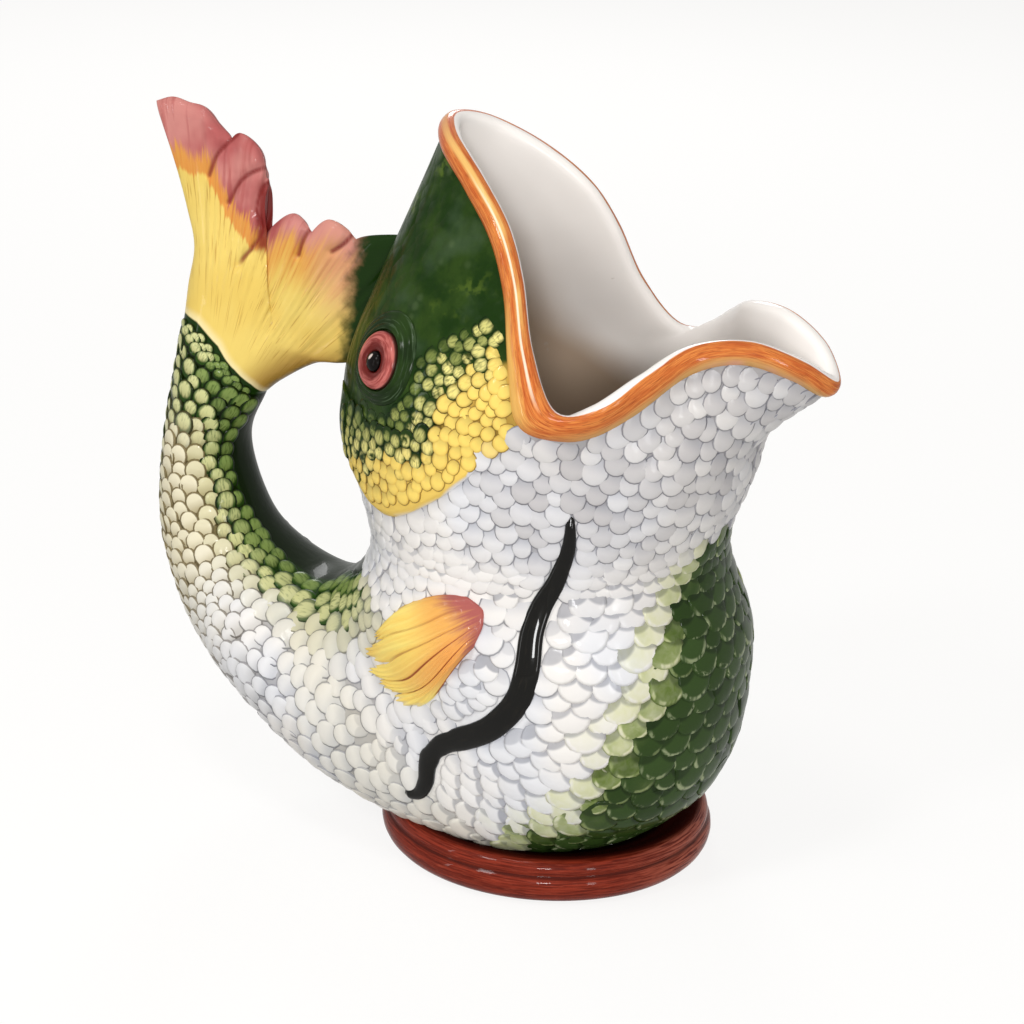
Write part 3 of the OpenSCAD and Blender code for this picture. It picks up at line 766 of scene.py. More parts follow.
def fin_at(s, r):
    # x and z of a spot of the fin: s from the outer edge to the inner, r from root to margin
    outer0, inner0 = np.array(FIN_OUTER[0], float), np.array(FIN_INNER[0], float)
    r = r * (1 - 0.035 * cusp(s, 0.02) * smooth(r, 0.7, 1))
    s1, r1 = s[..., None], r[..., None]
    root = outer0 + (inner0 - outer0) * s1
    top = FIN_TIP + (JOINT[3] - FIN_TIP) * s1
    edges = through(FIN_OUTER, r) * (1 - s1) + through(FIN_INNER, r) * s1
    plain = through(FIN_SWEEP, s)
    margin = plain + (through(FIN_MARGIN, s) - plain) * r1 ** 2.5
    return root * (1 - r1) + margin * r1 + edges - (root * (1 - r1) + top * r1)


def cusp(s, wide):
    return np.max([np.exp(-np.abs(s - c) / wide) for c in CUSPS], 0)


# %% Thickness of the fin
def fin_fan(s, r):
    # where a point lies in the fan of the rays, which all come from one point low in the tail
    flat = fin_at(s, r) - FAN_AT
    return (np.degrees(np.arctan2(flat[..., 0], flat[..., 1])) + 25) / 85


def crease_gap(s, r):
    # distance from the nearest crease between two petals of the margin
    marks = np.concatenate([through(line, np.linspace(0, 1, 32)) for line in CREASES])
    return gap_to(fin_at(s, r), marks)


def fin_half(s, r):
    # half the thickness of the fin
    c, fan = np.abs(1 - 2 * s), fin_fan(s, r)
    e = 2 + 3 * smooth(r)
    swell = (28 + (FIN_MARGIN_T - 28) * (1 - (1 - r) ** 1.8)) / 2
    flute = 0.8 * smooth(r, 0.2, 0.7) * (1 - np.cos(2 * np.pi * 8 * fan)) / 2
    wander = 0.5 * np.sin(19 * fan) + 0.3 * np.sin(47 * fan)
    rays = 0.2 * smooth(r, 0.15, 0.45) * np.cos(2 * np.pi * (27 * fan + wander))
    crease = 1.3 * np.exp(-(crease_gap(s, r) / 1.3) ** 2)
    rounding = np.sqrt(np.maximum(0.0009, 1 - np.clip((r - 0.95) / 0.05, 0, 1) ** 2))
    return np.maximum(swell - flute + rays - crease, 0.3) * np.maximum(0, 1 - c ** e) ** (1 / e) * rounding


def fin_seam(s):
    # where the scales of the tail stop on the root of the fin
    return 0.03 + 0.12 * np.sin(np.pi * s) ** 0.8


print("fin at its root:", 2 * fin_half(np.array([0.5]), np.array([0.0])).round(1), "mm thick")

# %% Glaze of the fin
ROSE_FOOT = [(0.12, 0.82), (0.39, 0.86), (0.47, 0.77), (0.64, 0.47), (0.81, 0.23), (0.97, 0.09)]
SADDLE = [(0.4, 1), (0.5, 0.97), (0.7, 0.945), (1, 0.93)]
SEAM = [(0, 0.03), (0.1, 0.078), (0.25, 0.12), (0.5, 0.15), (0.75, 0.12), (0.9, 0.078), (1, 0.03)]


def fin_glaze():
    g = Glaze("fin_paint")
    s, r, fan = g.read("spot")
    x, _, z = g.parts(g.place)
    stroke = g.noise(1, 4, g.vector(fan * 42, r * 2.2), 0.4)
    fine = g.noise(1, 4, g.vector(fan * 150, r * 5), 0.3)
    wash = g.noise(45, 3)
    rose = g.mix(g.step(wash, 0.36, 0.62), colour(174, 92, 90), colour(200, 132, 124))
    rose = g.mix(g.step(stroke, 0.52, 0.68) * 0.5, rose, colour(156, 66, 64))
    # on the big lobe rose and orange end at a slanting line, on the small one they follow the margin
    rise = z * 67 - 12 - g.follow(x * 31 + 4.34, ROSE_FOOT) * 2
    jag = (stroke - 0.5) * 0.5 + (fine - 0.5) * 0.3
    big = g.fall(s, 0.6, 0.64)
    warm = (g.step(rise + jag, -0.06, 0.06) * big).most(g.step(r + jag * 0.5, 0.7, 0.92) * (1 - big) * 0.8)
    pink = (g.step(rise + jag * 2.4, 0.3, 0.62) * big).most(g.step(r + jag * 0.25, 0.9, 0.98) * (1 - big))
    crease = g.fall(g.value("crease"), 0.15, 1.25) * g.step(rise.most(r * 4 - 3.3), -0.7, -0.4)
    notch_shade = g.span(s, 0.5, 0.56, 0.63, 0.665) * g.step(r, 0.78, 0.92)
    turned_side_shade = g.step(x, -0.1095, -0.107) * g.span(z, 0.18, 0.184, 0.2, 0.206) * big
    saddle = s - g.follow(r, SADDLE) + (g.noise(240, 3) - 0.5) * 0.05
    above = r - g.follow(s, SEAM) + (wash - 0.5) * 0.012
    paint = g.layers(
        g.mix(g.step(wash, 0.35, 0.65) * 0.6, colour(230, 202, 110), colour(220, 186, 90)),
        (g.step(fine, 0.56, 0.68) * g.step(r, 0.16, 0.34) * 0.6, (176, 126, 54)),
        # painted shade: darker ochre on the underside of the root
        (g.step(s, 0.72, 0.98) * g.fall(r, 0.4, 0.66) * 0.8, (158, 112, 42)),
        (warm * (0.55 + fine * 0.6), (212, 134, 62)),
        (pink, rose),
        (g.step(s, 0.78, 0.92) * g.step(r, 0.55, 0.9) * 0.6, (216, 152, 130)),
        (crease * 0.85, (122, 40, 38)),
        # painted shade in the notch and on the turned, shaded side of the third petal
        (notch_shade.most(turned_side_shade * 0.9), (120, 34, 30)),
        (g.step(saddle, -0.03, 0.02), DARK_GREEN),
        (g.fall(above, 0.01, 0.06) * 0.6, (240, 228, 184)),
        (g.fall(above, -0.004, 0.008), DARK_GREEN))
    return g.finish(paint, 0.24 + fine * 0.14, stroke, 0.2)


# %% Make the fin
def make_fin():
    rows, columns = 96, 440
    turn = np.linspace(0, 2 * np.pi, columns, endpoint=False)
    s = np.broadcast_to((1 - np.cos(turn)) / 2, (rows, columns))
    r = np.broadcast_to((1 - (1 - np.linspace(0, 1, rows)) ** 1.5)[:, None], (rows, columns))
    flat = fin_at(s, r)
    side = -np.sign(np.round(np.sin(turn), 9))
    points = np.stack([flat[..., 0], side * fin_half(s, r), flat[..., 1]], -1)
    faces = ring_faces(rows, columns).tolist()
    h, b = columns // 2, (rows - 1) * columns
    faces += [[b + i, b + columns - i, b + columns - i - 1, b + i + 1] for i in range(1, h - 1)]
    faces += [[b, b + columns - 1, b + 1], [b + h, b + h - 1, b + h + 1]]
    faces += [[i, columns - i, columns - i - 1, i + 1][::-1] for i in range(1, h - 1)]
    faces += [[0, columns - 1, 1][::-1], [h, h - 1, h + 1][::-1]]
    add_piece("fin", points, faces, [fin_glaze()], "fin_glaze", "tail_fin",
              spot=np.stack([s, r, fin_fan(s, r)], -1), crease=crease_gap(s, r))


make_fin()

# %% [markdown]
# ## Plates on the skin
# Gill covers, side fins and the dark lines along the flanks are thin pieces of clay stuck on with slip.
# Each is a grid of spots on the skin, lifted by its own thickness. The fish is the same on both sides, so
# the second piece is the first with its turn mirrored, which keeps its faces pointing outwards when the
# rows are reversed as well.

# %% Plate builder
PLATE_SINK = 0.8


def add_plate(name, turn, down, height, spots, glaze, slot, node):
    for side in ("right", "left"):
        t, d, h, p = turn, down, height, spots
        if side == "left":
            t, d, h, p = (x[:, ::-1] for x in (360 - turn, down, height, spots))
        base = np.full(h.shape, SLIP - PLATE_SINK)
        points = np.concatenate([lift(t, d, SLIP + h), lift(t, d, base)])
        add_piece(f"{name}_{side}", points, plate_faces(*h.shape), [glaze], slot, f"{node}_{side}",
                  spot=np.concatenate([p, p]))


# %% Gill covers
GILL_TOP = [(94, 0.85), (98, 1.05), (103, 1.3), (108, 1.5), (114, 1.65), (122, 1.76), (131, 1.8), (140, 1.8),
            (148, 1.8), (155, 1.82)]
GILL_EDGE = [(88, 0.95), (89, 1.3), (92, 1.75), (99, 2.12), (109, 2.38), (120, 2.54), (131, 2.56),
             (140, 2.44), (148, 2.26), (155, 2.05)]
GILL_T, GILL_THIN = 1.8, 0.5


def gill_glaze():
    g = Glaze("gill_paint")
    paint = fish_paint(g, 0.6, g.noise(160, 2))
    return g.finish(paint, 0.26 + g.noise(60, 2) * 0.1, g.noise(300, 3), 0.15)


def gill_height(across):
    rising = GILL_THIN + (GILL_T - GILL_THIN) * smooth(across)
    return np.where(across > 0.93, GILL_T * (1 - 0.75 * smooth(across, 0.93, 1)), rising)


def gill_grid(across, along):
    spot = through(GILL_TOP, along) * (1 - across[..., None]) + through(GILL_EDGE, along) * across[..., None]
    sink = 0.05 + 0.95 * smooth(along, 0.08, 0.26) * smooth(1 - along, 0, 0.1)
    return spot, gill_height(across) * sink


def make_gills():
    across, along = np.meshgrid(np.linspace(0, 1, 40), np.linspace(0, 1, 90), indexing="ij")
    spot, height = gill_grid(across, along)
    turn, down = spot[..., 0], spot[..., 1]
    spots = np.stack([turn / 180, np.minimum(down, 2.5) / LAST, across], -1)
    add_plate("gill", turn, down, height, spots, gill_glaze(), "gill_glaze", "gill_cover")


make_gills()

# %% [markdown]
# ## The eyes
# Each eye is a ridged dark brow, a rose ring brushed round and round, and a black domed pupil that catches
# the light. They are turned shapes bent onto the skin: circles in the flat, each point then moved to its
# place.

# %% Turned pieces on the skin
EYE_TURN, EYE_DOWN = 131.0, 1.14
BROW_D, BROW_T, IRIS_D, IRIS_T, PUPIL_D, PUPIL_T = 29, 1.5, 17.8, 2.2, 6.2, 2.9


def step_on(turn, down, x, y):
    # the spot that lies x and y millimetres away, on the flat that touches the skin
    p = skin(turn + 0.5, down) - skin(turn - 0.5, down)
    q = (skin(turn, down + 0.05) - skin(turn, down - 0.05)) * 10
    e = unit(p)
    f = np.cross(unit(np.cross(p, q)), e)
    d = np.asarray(x)[..., None] * e + np.asarray(y)[..., None] * f
    pp, pq, qq = (p * p).sum(-1), (p * q).sum(-1), (q * q).sum(-1)
    dp, dq = (d * p).sum(-1), (d * q).sum(-1)
    det = pp * qq - pq * pq
    return turn + (dp * qq - dq * pq) / det, down + (dq * pp - dp * pq) / det


def disc_piece(name, profile, glaze, slot, node, columns=72):
    # profile: radius and height from the middle outwards
    angle = np.linspace(0, 2 * np.pi, columns, endpoint=False)
    radius, height = (np.array(x, float)[:, None] for x in zip(*profile))
    turn, down = step_on(EYE_TURN, EYE_DOWN, radius * np.cos(angle), radius * np.sin(angle))
    faces = ring_faces(len(profile), columns)[:, ::-1].tolist()
    faces += [list(range(columns)), [(len(profile) - 1) * columns + k for k in range(columns)][::-1]]
    for side in ("right", "left"):
        t, d, a = turn, down, angle
        if side == "left":
            t, d, a = 360 - turn[:, ::-1], down[:, ::-1], angle[::-1]
        points = lift(t, d, np.broadcast_to(SLIP + height, t.shape))
        spots = np.stack(np.broadcast_arrays(radius / radius.max(), np.cos(a), np.sin(a)), -1)
        add_piece(f"{name}_{side}", points, faces, [glaze], slot, f"{node}_{side}", spot=spots)


print("eye at", skin(EYE_TURN, EYE_DOWN).round(1))

# %% Glazes of the eye
def brow_glaze():
    g = Glaze("brow_green")
    far, x, y = g.read("spot")
    swirl = g.noise(1, 4, g.vector(far * 30, x * 1.4, y * 1.4), 0.4)
    paint = g.mix(g.step(g.noise(90, 3), 0.45, 0.7), colour(22, 40, 10), colour(36, 58, 18))
    # painted highlight: pale swirl lines on the ridges of the brow
    paint = g.mix(g.step(swirl, 0.56, 0.68) * 0.45, paint, colour(84, 104, 76))
    return g.finish(paint, 0.2 + swirl * 0.1, swirl, 0.25)


def iris_glaze():
    g = Glaze("iris_rose")
    far, x, y = g.read("spot")
    swirl = g.noise(1, 4, g.vector(far * 14, x * 1.6, y * 1.6), 0.4)
    paint = g.layers(
        g.mix(g.step(swirl, 0.35, 0.65), colour(146, 62, 58), colour(192, 108, 100)),
        (g.fall(far + (swirl - 0.5) * 0.2, 0.52, 0.78) * 0.95, (96, 26, 22)),
        (g.step(far, 0.93, 0.99), (60, 30, 24)))
    return g.finish(paint, 0.2 + swirl * 0.1, swirl, 0.2)


def pupil_glaze():
    # black, with one pale painted highlight
    g = Glaze("pupil_black", 0.13, 0.02)
    far, x, y = g.read("spot")
    black = g.mix(g.noise(400, 3), colour(6, 5, 5), colour(18, 12, 10))
    mark = ((far * x - 0.3) / 0.2).squared() + ((far * y + 0.3) / 0.36).squared()
    black = g.mix(g.fall(mark, 0.4, 1) * 0.85, black, colour(232, 214, 204))
    return g.finish(black, 0.12 + g.noise(200, 2) * 0.05)


# %% Make the eyes
def ring_profile(inner, outer, thick, steps):
    inner = inner + 2 * SLIP
    return [((inner + (outer - inner) * share) / 2, height * thick) for share, height in steps]


def pupil_profile():
    rise = np.radians([88, 75, 60, 45, 30, 15, 0])
    dome = [(PUPIL_D / 2 * math.cos(a), PUPIL_T * (0.45 + 0.55 * math.sin(a))) for a in rise]
    return dome + [(PUPIL_D / 2, -PLATE_SINK)]


BROW = ring_profile(IRIS_D, BROW_D, BROW_T, [
    (0, -0.8), (0, 0.2), (0, 0.55), (0.07, 0.75), (0.15, 0.8), (0.24, 0.7), (0.32, 0.4), (0.4, 0.36),
    (0.48, 0.52), (0.57, 0.54), (0.66, 0.3), (0.74, 0.26), (0.82, 0.32), (0.88, 0.26), (0.95, 0.02),
    (1, -0.25), (1, -0.8)])
IRIS = ring_profile(PUPIL_D, IRIS_D, IRIS_T, [
    (0, -0.4), (0, 0.6), (0.05, 0.74), (0.2, 0.84), (0.35, 0.95), (0.5, 1), (0.65, 0.97), (0.8, 0.86),
    (0.9, 0.7), (0.97, 0.5), (1, 0.3), (1, -0.4)])
disc_piece("brow", BROW, brow_glaze(), "brow_glaze", "brow_ring")
disc_piece("iris", IRIS, iris_glaze(), "iris_glaze", "iris")
disc_piece("pupil", pupil_profile(), pupil_glaze(), "pupil_glaze", "pupil", 40)

# %% [markdown]
# ## Side fins and the dark flank lines
# The side fin fans out in ridged lobes from a rose root to yellow tips. The line along the flank is a
# smooth black bead that wanders from the shoulder down to the foot.

# %% Side fins
PEC_T, PEC_TIP_T, PEC_GROOVE, PEC_RAYS = 3.4, 1.4, 0.7, 5


def side_fin_glaze():
    g = Glaze("side_fin_paint")
    u, w, ridge = g.read("spot")
    stroke = g.noise(1, 4, g.vector(u * 22, w * 2.5), 0.4)
    fine = g.noise(1, 4, g.vector(u * 70, w * 5), 0.3)
    groove = g.fall(ridge, 0.12, 0.5) * (0.4 + g.step(u, 0.3, 0.6) * 0.6) * g.fall(w, 0.78, 1)
    paint = g.layers(
        g.mix(g.step(stroke, 0.35, 0.65) * 0.6, colour(248, 222, 122), colour(240, 198, 96)),
        (g.fall(w, 0.25, 0.6) * 0.8, (232, 160, 84)),
        (g.step(u, 0.4, 0.7) * g.fall(w, 0.5, 0.85) * 0.6, (226, 150, 80)),
        (groove * (0.65 + fine * 0.5), (146, 60, 40)),
        (g.fall(w + (stroke - 0.5) * 0.3 + u * 0.1, 0.08, 0.3), (168, 92, 86)),
        (g.step(w, 0.86, 1) * g.step(u, 0.6, 1) * 0.7, (240, 226, 170)))
    return g.finish(paint, 0.24 + fine * 0.12, stroke, 0.25)


def make_side_fins():
    u, w = np.meshgrid(np.linspace(0, 1, 91), np.linspace(0, 1, 50), indexing="ij")
    out = np.abs(2 * u - 1)
    bent = u + 0.025 * np.sin(7 * w + 9 * u) * (1 - out ** 3)
    lobe = np.abs(np.sin(np.pi * PEC_RAYS * bent)) ** 0.6
    ripple = 0.5 + 0.5 * np.cos(2 * np.pi * PEC_RAYS * 4 * bent)
    reach = 1 - (0.13 * (1 - lobe) + 0.05 * ripple + 0.05 * np.sin(11 * u) ** 2) * smooth(w, 0.3, 1)
    spot = pec_at(u, (w + 0.12 * out ** 2.5 * (1 - w)) * reach)
    height = PEC_T + (PEC_TIP_T - PEC_T) * w - PEC_GROOVE * np.minimum(1, w * 3) * (1 - lobe)
    height = height - 0.4 * ripple * smooth(w, 0.12, 0.4)
    edge = 0.15 + 0.85 * smooth(np.minimum(u, 1 - u), 0, 0.05)
    height = height * edge * (0.2 + 0.8 * smooth(w, 0, 0.12)) * (1 - 0.6 * smooth(w, 0.9, 1))
    spots = np.stack([bent, w, lobe * 0.6 + (1 - ripple) * 0.4], -1)
    add_plate("side_fin", spot[..., 0], spot[..., 1], height, spots, side_fin_glaze(), "pectoral_glaze",
              "pectoral_fin")


make_side_fins()

# %% Flank lines
def flank_line_glaze():
    g = Glaze("flank_line_black", 0.35, 0.03)
    along, across, _ = g.read("spot")
    streak = g.noise(1, 3, g.vector(along * 30, across * 6))
    paint = g.mix(g.step(streak, 0.5, 0.75), colour(9, 8, 5), colour(22, 19, 13))
    paint = g.mix(g.step(across, 0.94, 1) * 0.5, paint, colour(96, 100, 102))
    return g.finish(paint, 0.16 + g.noise(80, 2) * 0.1, g.noise(150, 2), 0.15)


def line_spot(share, x):
    # the spot that lies x millimetres beside the middle of the line
    p, q, o = (np.moveaxis(through(LATERAL, np.clip(share + k, 0, 1)), -1, 0) for k in (0, 0.01, -0.01))
    normal = outward(*p)
    beside = np.cross(normal, unit(skin(*q) - skin(*o)))
    across = unit(skin(p[0] + 0.5, p[1]) - skin(p[0] - 0.5, p[1]))
    along = np.cross(normal, across)
    return step_on(*p, -x * (beside * across).sum(-1), -x * (beside * along).sum(-1))


def make_flank_lines():
    share, across = np.meshgrid(np.linspace(0, 1, 160), np.linspace(-1, 1, 17), indexing="ij")
    end = np.minimum(share, 1 - share)
    wide = flank_width(share) * np.sqrt(np.maximum(0.01, 1 - np.clip(1 - end / 0.012, 0, 1) ** 2))
    turn, down = line_spot(share, across * wide / 2)
    height = LINE_T * np.sqrt(np.maximum(0, 1 - 0.97 * across ** 2)) * (0.1 + 0.9 * smooth(end, 0, 0.03))
    spots = np.stack([share, np.abs(across)], -1)
    add_plate("flank_line", turn, down, height, spots, flank_line_glaze(), "line_glaze", "lateral_line")


make_flank_lines()

# %% [markdown]
# ## The foot
# The jug stands on a rolled ring of clay under red-brown glaze, brushed on while it turned on the wheel. It
# is a lathe shape: one profile turned through a full circle. Streaks run round it. One side is painted
# paler, as painted light, and painted shade darkens the groove and the gutter against the belly.

# %% Foot
FOOT_PROFILE = [(39, 0), (44, 0), (48, 0), (50, 0.3), (51.6, 1.1), (52.8, 2.4), (53.6, 4), (54, 6),
                (53.8, 7.8), (53.2, 9), (52.5, 9.6), (52.2, 10), (52.5, 10.5), (52.7, 11.3), (52.4, 12.6),
                (51.6, 13.8), (50.3, 14.6), (48.6, 14.8), (46.8, 14.3), (45, 13.4), (43, 12.8), (39, 12.4)]


def foot_glaze():
    g = Glaze("foot_brown")
    x, y, high = g.read("spot")
    streak = g.noise(1, 5, g.vector(x * 5, y * 5, high * 60), 0.3)
    fine = g.noise(1, 4, g.vector(x * 14, y * 14, high * 160), 0.2)
    shaded_gutter = g.step(high, 0.72, 0.8)
    paint = g.layers(
        g.mix(g.step(streak, 0.36, 0.66), colour(92, 26, 14), colour(136, 48, 30)),
        (g.step(fine, 0.55, 0.72) * 0.5, (158, 74, 54)),
        # painted light: a paler wash on one side of the foot
        (g.step(x + y * 0.4, 0.4, 1) * g.step(streak, 0.36, 0.6) * 0.6, (182, 104, 82)),
        # painted shade in the gutter against the belly and in the groove
        (shaded_gutter.most(g.span(high, 0.42, 0.47, 0.49, 0.54) * 0.75), (54, 12, 6)))
    g.feed(g.shader.node.inputs["Coat Weight"], (1 - shaded_gutter) * 0.15)
    return g.finish(paint, 0.2 + fine * 0.16 + shaded_gutter * 0.4, streak, 0.25)


def make_foot():
    columns = 192
    angle = np.linspace(0, 2 * np.pi, columns, endpoint=False)
    radius, height = (np.array(x, float)[:, None] for x in zip(*FOOT_PROFILE))
    share = np.linspace(0, 1, len(FOOT_PROFILE))[:, None]
    points = np.stack(np.broadcast_arrays(radius * np.cos(angle), radius * np.sin(angle), height), -1)
    spots = np.stack(np.broadcast_arrays(np.cos(angle), np.sin(angle), share), -1)
    faces = ring_faces(len(FOOT_PROFILE), columns, True)
    add_piece("foot", points, faces, [foot_glaze()], "foot_glaze", "foot_ring", spot=spots)


make_foot()

# %% [markdown]
# ## Laying the scales
# The relief of scales is what makes the jug a fish. Each scale is a small pillow whose free edge points to
# the tail. They could be sculpted or drawn as a bump, but real pillows catch the light on their own edges.
# Rows of places are worked out on the skin, wide in front and narrow behind, and none where the jug is
# smooth. A Geometry Nodes tree then sets one pillow on each place, turned to the skin, with a small seeded
# difference in size and lean.

# %% One scale
def scale_shape():
    outline = [(0, 0.5), (0.17, 0.47), (0.33, 0.38), (0.45, 0.22), (0.5, 0.02), (0.47, -0.2), (0.38, -0.42),
               (0.2, -0.55)]
    outline += [(0, -0.58)] + [(-x, y) for x, y in reversed(outline[1:])]
    outline = np.array(outline, float)[::-1]
    rise = 0.15 + 0.85 * smooth(outline[:, 1], -0.6, 0.3)
    rings = [np.c_[outline * 0.97, np.full(len(outline), -0.5)], np.c_[outline, rise * 0.5],
             np.c_[outline * 0.82, 0.02 + rise * 0.82], np.c_[outline * 0.45 + (0, 0.02), 0.25 + rise * 0.75]]
    n = len(outline)
    points = np.vstack(rings + [[(0, 0.03, 0.93)]])
    faces = ring_faces(4, n).tolist() + [[3 * n + k, 3 * n + (k + 1) % n, 4 * n] for k in range(n)]
    faces.append(list(range(n))[::-1])
    rim = np.append(np.repeat([1, 0.85, 0.5, 0.15], n), 0)
    print("one scale:", len(faces), "faces")
    mesh = new_mesh("scale_shape", points, faces, rim=rim, local=points[:, :2])
    return bpy.data.objects.new("scale_shape", mesh)


SCALE = scale_shape()

# %% Tree that lays scales
def scale_tree():
    tree = bpy.data.node_groups.new("lay_scales", "GeometryNodeTree")
    inputs = {"Places": "Geometry", "Scale": "Object", "Relief": "Float", "Size difference": "Float",
              "Lean": "Float", "Seed": "Int", "Glaze": "Material"}
    for name, kind in inputs.items():
        tree.interface.new_socket(name, in_out="INPUT", socket_type=f"NodeSocket{kind}")
    tree.interface.new_socket("Scales", in_out="OUTPUT", socket_type="NodeSocketGeometry")
    g = Bench(tree)
    given = g.node("NodeGroupInput")

    def named(attribute):
        made = g.node("GeometryNodeInputNamedAttribute", {"data_type": "FLOAT_VECTOR"}, {"Name": attribute})
        return made.out("Attribute")

    def chance(low, high, step):
        return g.node("FunctionNodeRandomValue", {"data_type": "FLOAT"}, {
            "Min_001": low, "Max_001": high, "Seed": given.out("Seed") + step}).out("Value_001")

    stand = g.node("FunctionNodeAlignRotationToVector", {"axis": "Z"}, {"Vector": named("out")}).out()
    stand = g.node("FunctionNodeAlignRotationToVector", {"axis": "Y", "pivot_axis": "Z"}, {
        "Rotation": stand, "Vector": named("flow")}).out()
    lean = g.node("ShaderNodeCombineXYZ", {}, {"Z": chance(-1.0, 1.0, 1) * given.out("Lean")}).out()
    lean = g.node("FunctionNodeEulerToRotation", {}, {"Euler": lean}).out()
    stand = g.node("FunctionNodeRotateRotation", {"rotation_space": "LOCAL"}, {
        "Rotation": stand, "Rotate By": lean}).out()
    grow = 1 + chance(-1.0, 1.0, 2) * given.out("Size difference")
    size = g.node("ShaderNodeVectorMath", {"operation": "SCALE"}, {"Vector": named("size"), "Scale": grow})
    tall = g.node("ShaderNodeCombineXYZ", {}, {"X": 1.0, "Y": 1.0, "Z": given.out("Relief")})
    size = g.node("ShaderNodeVectorMath", {"operation": "MULTIPLY"}, {0: size.out("Vector"), 1: tall.out()})
    pillow = g.node("GeometryNodeObjectInfo", {"transform_space": "ORIGINAL"}, {"Object": given.out("Scale")})
    laid = g.node("GeometryNodeInstanceOnPoints", {}, {
        "Points": given.out("Places"), "Instance": pillow.out("Geometry"), "Rotation": stand,
        "Scale": size.out("Vector")}).out("Instances")
    toned = g.node("GeometryNodeStoreNamedAttribute", {"data_type": "FLOAT", "domain": "INSTANCE"}, {
        "Geometry": laid, "Name": "tone", "Value": chance(0.0, 1.0, 3)}).out("Geometry")
    real = g.node("GeometryNodeRealizeInstances", {}, {"Geometry": toned}).out("Geometry")
    glazed = g.node("GeometryNodeSetMaterial", {}, {"Geometry": real, "Material": given.out("Glaze")})
    g.node("NodeGroupOutput", {}, {"Scales": glazed.out("Geometry")})
    print("scale tree:", len(tree.nodes), "nodes")
    return tree


LAY_SCALES = scale_tree()

# %% [markdown]
# ### Where the scales lie
# Rows follow the lines round the fish. How far apart two rows are differs round the tube, because the tail
# bends back on itself, so each scale is as wide as its row spacing asks for. A place is dropped where it
# would crowd the scales already laid, or where the real jug is smooth: at the lip, the eye, the side fin,
# the flank line and the grip.

# %% Spacing of the rows
GILL_REACH = 1.2
SMALL = 0.04


def row_spacing(turn, down):
    # millimetres from one line of the fish to the next
    return np.linalg.norm(skin(turn, down + SMALL) - skin(turn, down - SMALL), axis=-1) / (2 * SMALL)


def row_levels(start, end, target):
    # the lines that the rows follow, about target millimetres apart
    fine = np.linspace(start, end, 600)
    mean = np.mean([row_spacing(t, fine) for t in range(10, 121, 10)], 0)
    count = np.concatenate([[0], np.cumsum((mean[1:] + mean[:-1]) / 2 * np.diff(fine) / target)])
    levels = np.interp(np.arange(0.5, count[-1], 1.0), count, fine)
    return levels, np.gradient(levels)


def gill_share(turn, down):
    # how far across the gill cover a place lies, and the height of the cover there; -1 off the cover
    across, along = np.meshgrid(np.linspace(0, 1, 24), np.linspace(0, 1, 60), indexing="ij")
    spot, height = gill_grid(across, along)
    grid, height, across = skin(spot[..., 0], spot[..., 1]).reshape(-1, 3), height.ravel(), across.ravel()
    gaps = [np.linalg.norm(grid - p, axis=1) for p in skin(turn, down)]
    nearest = np.array([gap.argmin() for gap in gaps], int)
    on = np.array([gap.min() for gap in gaps]) < GILL_REACH
    return np.where(on, across[nearest], -1), np.where(on, SLIP + height[nearest], 0)


print("belly lines, in front and behind:", row_spacing(np.array([0, 180]), 4).round(1), "mm apart")

# %% Places for rows of scales
GAP_MOST, GAP_LEAST = 1.36, 0.66


def row_sizes(down, dv):
    turn = np.linspace(0, 180, 721)
    near = row_spacing(turn, down) * dv
    squat = 0.56 + 0.18 * smooth(down, 6, 8) + 0.14 * smooth(turn, 90, 130) * (1 - smooth(down, 6, 8))
    wide = np.clip(near / squat, 4.2, 6.8 + 5.2 * smooth(down, 2.5, 3.7))
    reach = np.linalg.norm(np.diff(skin(turn, down), axis=0), axis=1)
    count = np.concatenate([[0], np.cumsum(reach / ((wide[1:] + wide[:-1]) / 2))])
    return turn, near, wide, count


def next_row(previous, turn, count):
    # each scale starts in the middle between two of the row before, so that the rows stay staggered
    if previous is None:
        return np.interp(np.arange(0, count[-1]), count, turn)
    middles = (previous[1:] + previous[:-1]) / 2
    row = np.concatenate([[0], middles]) if previous[0] > 0.01 else middles
    at = list(np.interp(np.append(row, 2 * previous[-1] - row[-1]), turn, count))
    k = 0
    while k < len(at) - 1:
        gap = at[k + 1] - at[k]
        if gap > GAP_MOST:
            at.insert(k + 1, at[k] + gap / 2)
        elif gap < GAP_LEAST:
            at.pop(k + 1)
        else:
            k += 1
    at = np.array(at)
    for _ in range(3):
        at[1:-1] += 0.3 * ((at[:-2] + at[2:]) / 2 - at[1:-1])
    at = at[at < count[-1]]
    return np.interp(at, count, turn)


def places(start, end, target):
    # turn, line, width and length of each scale on half the fish
    levels, steps = row_levels(start, end, target)
    rows, row = [], None
    for down, dv in zip(levels, steps):
        turn, near, wide, count = row_sizes(down, dv)
        row = next_row(row, turn, count)
        level = np.full(len(row), down)
        rows.append(np.stack([row, level, np.interp(row, turn, wide), np.interp(row, turn, near)], 1))
    half = np.concatenate(rows)
    rng = np.random.default_rng(7)
    half[:, 0] += rng.normal(0, 0.3, len(half)) * (half[:, 0] > 1)
    half[:, 1] += rng.normal(0, 0.01, len(half))
    return half


# %% Places for pebbles
TRIES = 60000


def pebbles(turn, down):
    # 1 on the head, the tail and the back of the flank, where the scales lie freely and not in rows
    back = np.maximum(smooth(down, 5.6, 6.6), smooth(turn, 88, 104) * smooth(down, 4.3, 5.2))
    neck = smooth(turn, 104, 112) * smooth(down, 2.9, 3.1)
    return np.maximum(np.maximum(back, neck), 1 - smooth(down, 2.6, 3))


